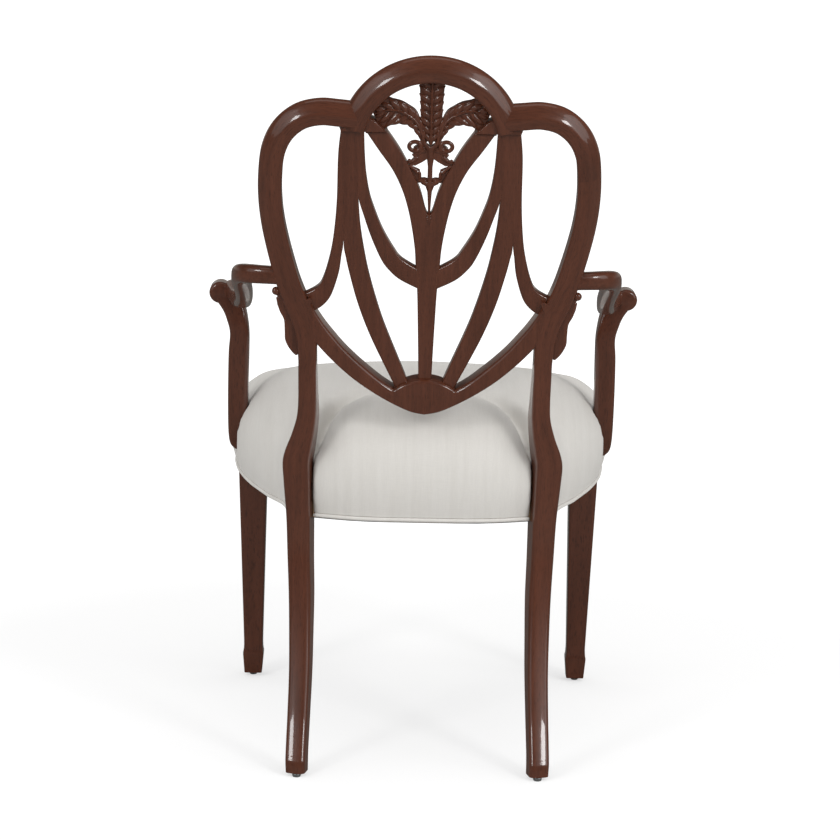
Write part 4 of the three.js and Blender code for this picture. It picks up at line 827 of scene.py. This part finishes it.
# Front legs: square and tapered, with spade feet; height, width and share of the inward lean
LEG_X, LEG_LOW_X, LEG_Y = 0.2515, 0.24825, -0.235
LEG_STATIONS = [
    (0.005, 0.0262, 1), (0.0058, 0.0268, 1), (0.0335, 0.0314, 1), (0.0358, 0.0315, 1), (0.0374, 0.0313, 1),
    (0.039, 0.0302, 1), (0.044, 0.0292, 1), (0.05, 0.0286, 1), (0.056, 0.0287, 0.98), (0.12, 0.0321, 0.758),
    (0.2, 0.0364, 0.48), (0.28, 0.0408, 0.204), (0.339, 0.044, 0), (0.345, 0.04, 0)]
leg_corner = rounded_section(48, 14)
loft("front_leg", [at_height(leg_corner * size + [LEG_X + (LEG_LOW_X - LEG_X) * low, LEG_Y], z)
                   for z, size, low in LEG_STATIONS], ["front_leg"], 16.0, 24)

# Nail-on glides, turned; the profile is (radius, height)
GLIDE = [(0.0002, 0), (0.0044, 0), (0.0051, 0.0003), (0.0057, 0.0011), (0.006, 0.0022), (0.006, 0.0042),
         (0.0056, 0.0047), (0.0013, 0.0047), (0.0013, 0.0145), (0.0002, 0.0158)]
for end in ("rear", "front"):
    low, high = (Vector(p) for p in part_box(end + "_glide_left"))
    middle = (low + high) / 2
    verts, faces = loft_data([at_height(middle[:2] + r * circle(36), low.z + z) for r, z in GLIDE])
    for side, v in (("left", verts), ("right", flip(verts))):
        piece(f"{end}_foot_glide_{side}", v, faces, [f"{end}_glide_{side}"], "steel")

# The upholstered seat: its plan, then the way a ring of the cushion rises, swells and closes in
SEAT_HALF, SEAT_REACH, CROWN = 0.276, 0.298, 0.509
SEAT_PLAN = [
    (0, 0.607), (0.29, 0.6), (0.52, 0.543), (0.64, 0.49), (0.675, 0.417), (0.712, 0.282), (0.8, 0.104),
    (0.89, -0.141), (0.957, -0.386), (0.99, -0.605), (1, -0.772), (0.975, -0.845), (0.906, -0.879),
    (0.76, -0.913), (0.58, -0.945), (0.3, -0.981), (0, -1)]
seat_loop = symmetric(np.array(SEAT_PLAN) * [SEAT_HALF, SEAT_REACH])
seat_line = spline(np.vstack([seat_loop, seat_loop[:1]]), 16)
seat_plan = even(seat_line[:-1], 260, closed=True)
CUSHION_LOW, CROWN_FALL, BULGE, CROWN_BACK = 0.3463, 0.013, 0.011, -0.17 * SEAT_REACH
CUSHION_RINGS = [
    (0, 0, 0), (0.03, 0.15, 0), (0.08, 0.4, 0), (0.22, 0.85, 0), (0.38, 1, 0), (0.54, 0.9, 0.01),
    (0.68, 0.4, 0.03), (0.79, -0.2, 0.07), (0.875, -0.4, 0.14), (0.94, -0.3, 0.28), (0.98, 0, 0.5),
    (0.996, 0, 0.75), (1, 0, 0.93)]

# Creases that run in from a post: place, depth and half width in millimetres
REAR_CREASE = [
    (152, 150, 36, 8), (141, 128, 38, 9), (124, 98, 27, 11), (103, 67, 17, 14), (72, 38, 8, 20),
    (40, 10, 0, 28)]
SIDE_CREASE = [
    (257, -118, 7, 8), (246, -148, 7, 9), (230, -174, 6, 12), (208, -198, 4, 15), (182, -216, 0, 19)]


def crease_drop(x, y, line, left, right):
    """How far the cloth is drawn down along a crease, with a factor for each side of the chair."""
    line = spline(np.array(line, float) / 1000, 8)
    side = np.stack([np.abs(x), y], -1)
    drop = np.zeros(len(x))
    for start in range(0, len(x), 5000):
        part = side[start:start + 5000]
        far = np.linalg.norm(part[:, None] - line[None, :, :2], axis=2)
        near = np.argmin(far, 1)
        gap = far[np.arange(len(part)), near]
        drop[start:start + 5000] = line[near, 2] * np.exp(-(gap / line[near, 3]) ** 2)
    return drop * np.where(x > 0, left, right)


def post_at(z):
    """Centre, turn and half sizes of the left rear post at a height."""
    rows = stations[::-1]
    outer, width, back, deep, turned = (np.interp(z, rows[:, 0] * LEG_TALL, rows[:, k]) for k in range(1, 6))
    a = turned * LEG_TURN
    wide, thick = width * LEG_WIDE, deep * LEG_DEEP
    cx = outer * LEG_OUT - wide / 2 * np.cos(a) - np.sin(a) * thick / 2
    cy = back * BACK - np.cos(a) * thick / 2
    return cx, cy, a, wide / 2, thick / 2


def clear_of_posts(points, gap):
    """The same points, moved out of the rear posts and the arm supports."""
    p = np.array(points, float)
    mirror = np.where(p[:, 0] < 0, -1.0, 1.0)
    x, y = np.abs(p[:, 0]), p[:, 1]
    cx, cy, a, hx, hy = post_at(p[:, 2])
    u = (x - cx) * np.cos(a) - (y - cy) * np.sin(a)
    v = (x - cx) * np.sin(a) + (y - cy) * np.cos(a)
    dx, dy = hx + gap - np.abs(u), hy + gap - np.abs(v)
    inside = (dx > 0) & (dy > 0)
    u = np.where(inside & (dx <= dy), np.sign(u) * (hx + gap), u)
    v = np.where(inside & (dx > dy), np.sign(v) * (hy + gap), v)
    x = cx + u * np.cos(a) + v * np.sin(a)
    y = cy - u * np.sin(a) + v * np.cos(a)
    # The arm supports, upright
    up = (p[:, 2] - SUPPORT_BOTTOM) / (SUPPORT_TOP - SUPPORT_BOTTOM)
    rows = support_stations
    side, back, wide, deep = (np.interp(up, rows[:, 0], rows[:, k]) for k in range(1, 5))
    sx, sy = side * SUPPORT_CENTRE, back * SUPPORT_BACK
    hx, hy = wide * SUPPORT_WIDE / 2, deep * SUPPORT_DEEP / 2
    dx, dy = hx + gap - np.abs(x - sx), hy + gap - np.abs(y - sy)
    inside = (dx > 0) & (dy > 0) & (up > -0.02)
    inner = inside & (x < sx) & (dx <= dy)
    x = np.where(inner, sx - hx - gap, x)
    y = np.where(inside & ~inner, sy + np.sign(y - sy) * (hy + gap), y)
    return np.column_stack([x * mirror, y, p[:, 2]])


def grown_rings(rings, gap):
    """Rings of a post, a gap wider all round."""
    out = []
    for ring in rings:
        centre = ring.mean(0)
        rel = ring - centre
        half = np.linalg.norm(rel, axis=1).max() * 0.72
        out.append(centre + rel * (1 + gap / half))
    return np.array(out)


def both_cutters(verts, faces):
    return [as_object("cutter", v, faces) for v in (verts, flip(verts))]


def post_cutters(top, gap):
    rings = [leg_ring(s) for s in stations if 0.30 < s[0] * LEG_TALL < top]
    return both_cutters(*loft_data(grown_rings(rings, gap)))


# The start shape: a crowned pad a little smaller than the finished one, cut round the posts
pad_rings = [at_height(seat_plan, CUSHION_LOW - 0.007)]
for rise, swell, closing in spline(CUSHION_RINGS, 3):
    q = shifted(seat_plan, swell * BULGE)
    q = q * (1 - closing) + np.array([0, CROWN_BACK]) * closing
    top = CROWN - CROWN_FALL * (q[:, 0] / SEAT_HALF) ** 2
    pad_rings.append(at_height(q, CUSHION_LOW + (top - CUSHION_LOW) * min(rise, 1)))
pad_rings = np.array(pad_rings)
pad = pad_rings.reshape(-1, 3)
level = smoothstep(pad[:, 2], 0.415, 0.455)
drop = crease_drop(pad[:, 0], pad[:, 1], REAR_CREASE, 1.3, 1.1)
drop += crease_drop(pad[:, 0], pad[:, 1], SIDE_CREASE, 1.0, 1.25)
pad[:, 2] -= drop * level
# The rear lobe rounds off towards each post
shoulder = smoothstep(np.abs(pad[:, 0]), 0.085, 0.158) ** 2 * (np.abs(pad[:, 0]) < 0.172)
behind = smoothstep(pad[:, 1], 0.09, 0.14)
pad[:, 2] -= 0.012 * shoulder * behind * level
pad[:, 1] -= 0.013 * shoulder * behind * smoothstep(pad[:, 2], 0.385, 0.46)
POST_GAP = 0.0016
support_cut = grown_rings([r for r in support_rings if r[0, 2] < 0.56], POST_GAP)
support_cut[0][:, 2] -= 0.002
body = as_object("pad", *loft_data(pad.reshape(pad_rings.shape)))
cutters = post_cutters(0.56, POST_GAP) + both_cutters(*loft_data(support_cut))
cut_away(body, cutters)
add_skin(body, 0.005, 2)
pad_verts, pad_faces = baked(body, cutters)

# The cloth is blown up against the foam and held at its lower edge and in the tucks
PAD_CAP, START_LEVEL, START_SHARE, HOLD_BELOW, LAST_FRAME = 0.007, 0.40, 0.975, 0.351, 20
start = pad_verts.copy()
start[:, 2] = np.where(start[:, 2] > START_LEVEL,
                       START_LEVEL + (start[:, 2] - START_LEVEL) * START_SHARE, start[:, 2])
body = as_object("pad", start, pad_faces)
hold = body.vertex_groups.new(name="hold")
hold.add(np.nonzero(start[:, 2] < HOLD_BELOW)[0].tolist(), 1.0, "REPLACE")
near_post = np.linalg.norm(clear_of_posts(start, 0.004) - start, axis=1) > 0
hold.add(np.nonzero(near_post)[0].tolist(), 0.9, "REPLACE")
sim = body.modifiers.new("sim", "CLOTH")
for key, value in {"quality": 6, "mass": 0.3, "tension_stiffness": 18, "compression_stiffness": 18,
                   "shear_stiffness": 8, "bending_stiffness": 1.2, "use_pressure": True,
                   "uniform_pressure_force": 4, "vertex_group_mass": "hold",
                   "pin_stiffness": 1.0}.items():
    setattr(sim.settings, key, value)
sim.settings.effector_weights.gravity = 0
sim.collision_settings.use_collision = False
sim.collision_settings.use_self_collision = False
sim.point_cache.frame_start, sim.point_cache.frame_end = 1, LAST_FRAME
for f in range(1, LAST_FRAME + 1):
    scene.frame_set(f)
moved, _ = baked(body)
scene.frame_set(1)
step = moved - pad_verts
size = np.linalg.norm(step, axis=1)
pad_verts = pad_verts + step * np.minimum(1, PAD_CAP / np.maximum(size, 1e-9))[:, None]

# The pad is hollowed for the frame that it sits on
body = as_object("pad", clear_of_posts(pad_verts, 0.0010), pad_faces)
fine = body.modifiers.new("fine", "SUBSURF")
fine.levels = fine.render_levels = 1
room = as_object("room", *prism(shifted(seat_plan, -0.0032), 0.33, 0.4080))
below = as_object("below", *prism(shifted(seat_plan, 0.03), 0.32, CUSHION_LOW))
cut_away(body, [room, below])
pad_verts, pad_faces = baked(body, [room, below])
cushion = piece("seat_cushion", clear_of_posts(pad_verts, 0.0006), pad_faces, ["seat_cover", "seat_foam"],
                "seat_cloth", sharp=55)

# Welt cord along the lower edge, in two lengths between the rear posts
WELT_RADIUS, WELT_HEIGHT, WELT_END = 0.0029, 0.343, 0.55


def welt(name, first, last, nodes, steps):
    count = len(seat_line) - 1
    at = np.linspace(first, last, steps) % 1 * count
    low = at.astype(int)
    t = (at - low)[:, None]
    flat = at_height(seat_line[low] * (1 - t) + seat_line[(low + 1) % (count + 1)] * t, WELT_HEIGHT)
    flat = flat[np.linalg.norm(clear_of_posts(flat, 0.0009) - flat, axis=1) == 0]
    along = directions(flat)
    out = np.column_stack([along[:, 1], -along[:, 0], np.zeros(len(along))])
    cos, sin = circle(14).T * WELT_RADIUS
    rings = [c + np.outer(cos, o) + np.outer(sin, (0, 0, 1)) for c, o in zip(flat, out)]
    for end in (0, -1):
        rings[end] = rings[end].mean(0) + (rings[end] - rings[end].mean(0)) * WELT_END
    return piece(name, *loft_data(rings), nodes, "seat_cloth", sharp=60)


for w in (welt("rear_welt", -0.0859, 0.0859, ["welt_rear"], 160),
          welt("front_welt", 0.0969, 0.9031, ["welt_front"], 620)):
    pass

# The dust cover: black cambric pulled tight under the rails, with a slight sag
SHEET_TOP, SHEET_THICK, SHEET_CELL = 0.3385, 0.0006, 0.0113
sheet_plan = shifted(seat_plan, -0.0072)
sheet = as_object("sheet", *prism(sheet_plan, SHEET_TOP - SHEET_THICK, SHEET_TOP))
corner = np.array([(-1, -1), (1, -1), (1, 1), (-1, 1)]) * 0.0232 + [LEG_X, LEG_Y]
cutters = post_cutters(0.37, 0.0012) + both_cutters(*prism(corner, 0.32, 0.36))
cut_away(sheet, cutters)
sheet_verts, sheet_faces = baked(sheet, cutters)
bm = bmesh.new()
corners = [bm.verts.new(tuple(p)) for p in sheet_verts]
for one in sheet_faces:
    bm.faces.new([corners[i] for i in one])
sheet_area = sum(one.calc_area() for one in bm.faces) / 2
for normal in (Vector((1, 0, 0)), Vector((0, 1, 0))):
    for k in range(-27, 28):
        bmesh.ops.bisect_plane(bm, geom=bm.verts[:] + bm.edges[:] + bm.faces[:],
                               plane_co=[n * (k * SHEET_CELL) for n in normal], plane_no=normal)
for p in bm.verts:
    x, y = p.co.x / SEAT_HALF, (p.co.y + 0.05) / 0.24
    inner = max(0.0, 1 - x * x) * max(0.0, 1 - y * y)
    pull = math.sin(p.co.x * 210 + 1.3 * math.sin(p.co.y * 60)) * math.sin(p.co.y * 190 + 0.8)
    p.co.z -= inner * (0.0032 + 0.0004 * pull)
bm.verts.index_update()
sheet_verts = [tuple(p.co) for p in bm.verts]
sheet_faces = [tuple(p.index for p in one.verts) for one in bm.faces]
bm.free()
cover = piece("under_cover", sheet_verts, sheet_faces, ["dust_cover"], "cambric")
wide, long = np.ptp(sheet_plan, axis=0).tolist()

# The floor; for the camera it glows by itself, which is painted light: away from the chair the glow keeps it
# as white as the backdrop, and nearer the chair a weaker glow paints light into the chair's cast shadow, so
# that the shadow stays pale
floor = placed("floor", bpy.data.meshes.new("floor"))
floor.data.from_pydata([(-30, -30, 0), (30, -30, 0), (30, 30, 0), (-30, 30, 0)], [], [(0, 1, 2, 3)])
floor_material, tree, shader = material("floor")
ray = add(tree, "LightPath")
tone = blend(tree, ray["Is Camera Ray"], (0.62, 0.62, 0.62, 1), (0.42, 0.42, 0.42, 1))
away = add(tree, "VectorMath", {0: add(tree, "NewGeometry")["Position"]}, operation="LENGTH")["Value"]
# Painted light: the glow is weakest near the chair, where it lightens the cast shadow, and strongest far
# away
glow = remap(tree, away, 0.58, 0.9, 0.8, 2.4)
fill(shader, {"Base Color": blend(tree, ray["Is Glossy Ray"], tone, (0.16, 0.158, 0.148, 1)),
              "Emission Color": (1, 1, 1, 1),
              "Emission Strength": compute(tree, "MULTIPLY", ray["Is Camera Ray"], glow),
              "Roughness": 0.9, "Specular IOR Level": 0.0})
floor.data.materials.append(floor_material)

# Lamps: place, size and power; all aim at the middle of the chair
LAMP_AIM = Vector((0, 0, 0.6))
for name, place, size, power in (("key_left", (2.3, 2.6, 2.5), (0.8, 0.8), 30),
                                 ("key_right", (-2.3, 2.6, 2.5), (0.8, 0.8), 39),
                                 ("left", (3.0, 1.6, 2.2), (1.8, 2.4), 9),
                                 ("right", (-3.0, 1.6, 2.2), (1.8, 2.4), 20),
                                 ("overhead", (0, 0.3, 3.8), (2.6, 1.2), 8)):
    lamp = placed(name, bpy.data.lights.new(name, "AREA"))
    lamp.data.shape = "RECTANGLE"
    lamp.data.size, lamp.data.size_y = size
    lamp.data.energy = power
    lamp.location = place
    lamp.rotation_mode = "QUATERNION"
    lamp.rotation_quaternion = (LAMP_AIM - Vector(place)).to_track_quat("-Z", "Y")

# The world: white to the camera; in reflections the pale backdrop shows only low down and ahead
world = bpy.data.worlds.new("world")
scene.world = world
world.use_nodes = True
tree = world.node_tree
ray = add(tree, "LightPath")
at = add(tree, "SeparateXYZ", {0: add(tree, "TexCoord")["Generated"]})
sky = ramp(tree, remap(tree, at["Y"], 0, 1, -1, 1),
           [(0.0, (0.42, 0.41, 0.38)), (0.28, (0.3, 0.29, 0.27)), (0.42, (0.06, 0.06, 0.056)),
            (1.0, (0.05, 0.05, 0.047))])
fade = blend(tree, remap(tree, at["Z"], 0, 1, 0.12, 0.42), sky, (0.035, 0.035, 0.033, 1))
ground = fill(tree.nodes["Background"], {"Color": (1, 1, 1, 1), "Strength": 0.80})
seen = ground.outputs["Background"]
for kind, colour in (("Is Glossy Ray", fade), ("Is Camera Ray", (1, 1, 1, 1))):
    other = add(tree, "Background", {"Color": colour})["Background"]
    seen = add(tree, "MixShader", {"Fac": ray[kind], 1: seen, 2: other})["Shader"]
fill(tree.nodes["World Output"], {"Surface": seen})
scene.view_settings.view_transform = "Standard"

# Materials on the frame's own nodes
for part in frame["record"]["subparts"]:
    obj = bpy.data.objects.get(part["node"])
    if obj is None:
        continue
    obj.data.materials.clear()
    obj.data.materials.append(FINISH[part["material_slot"]])
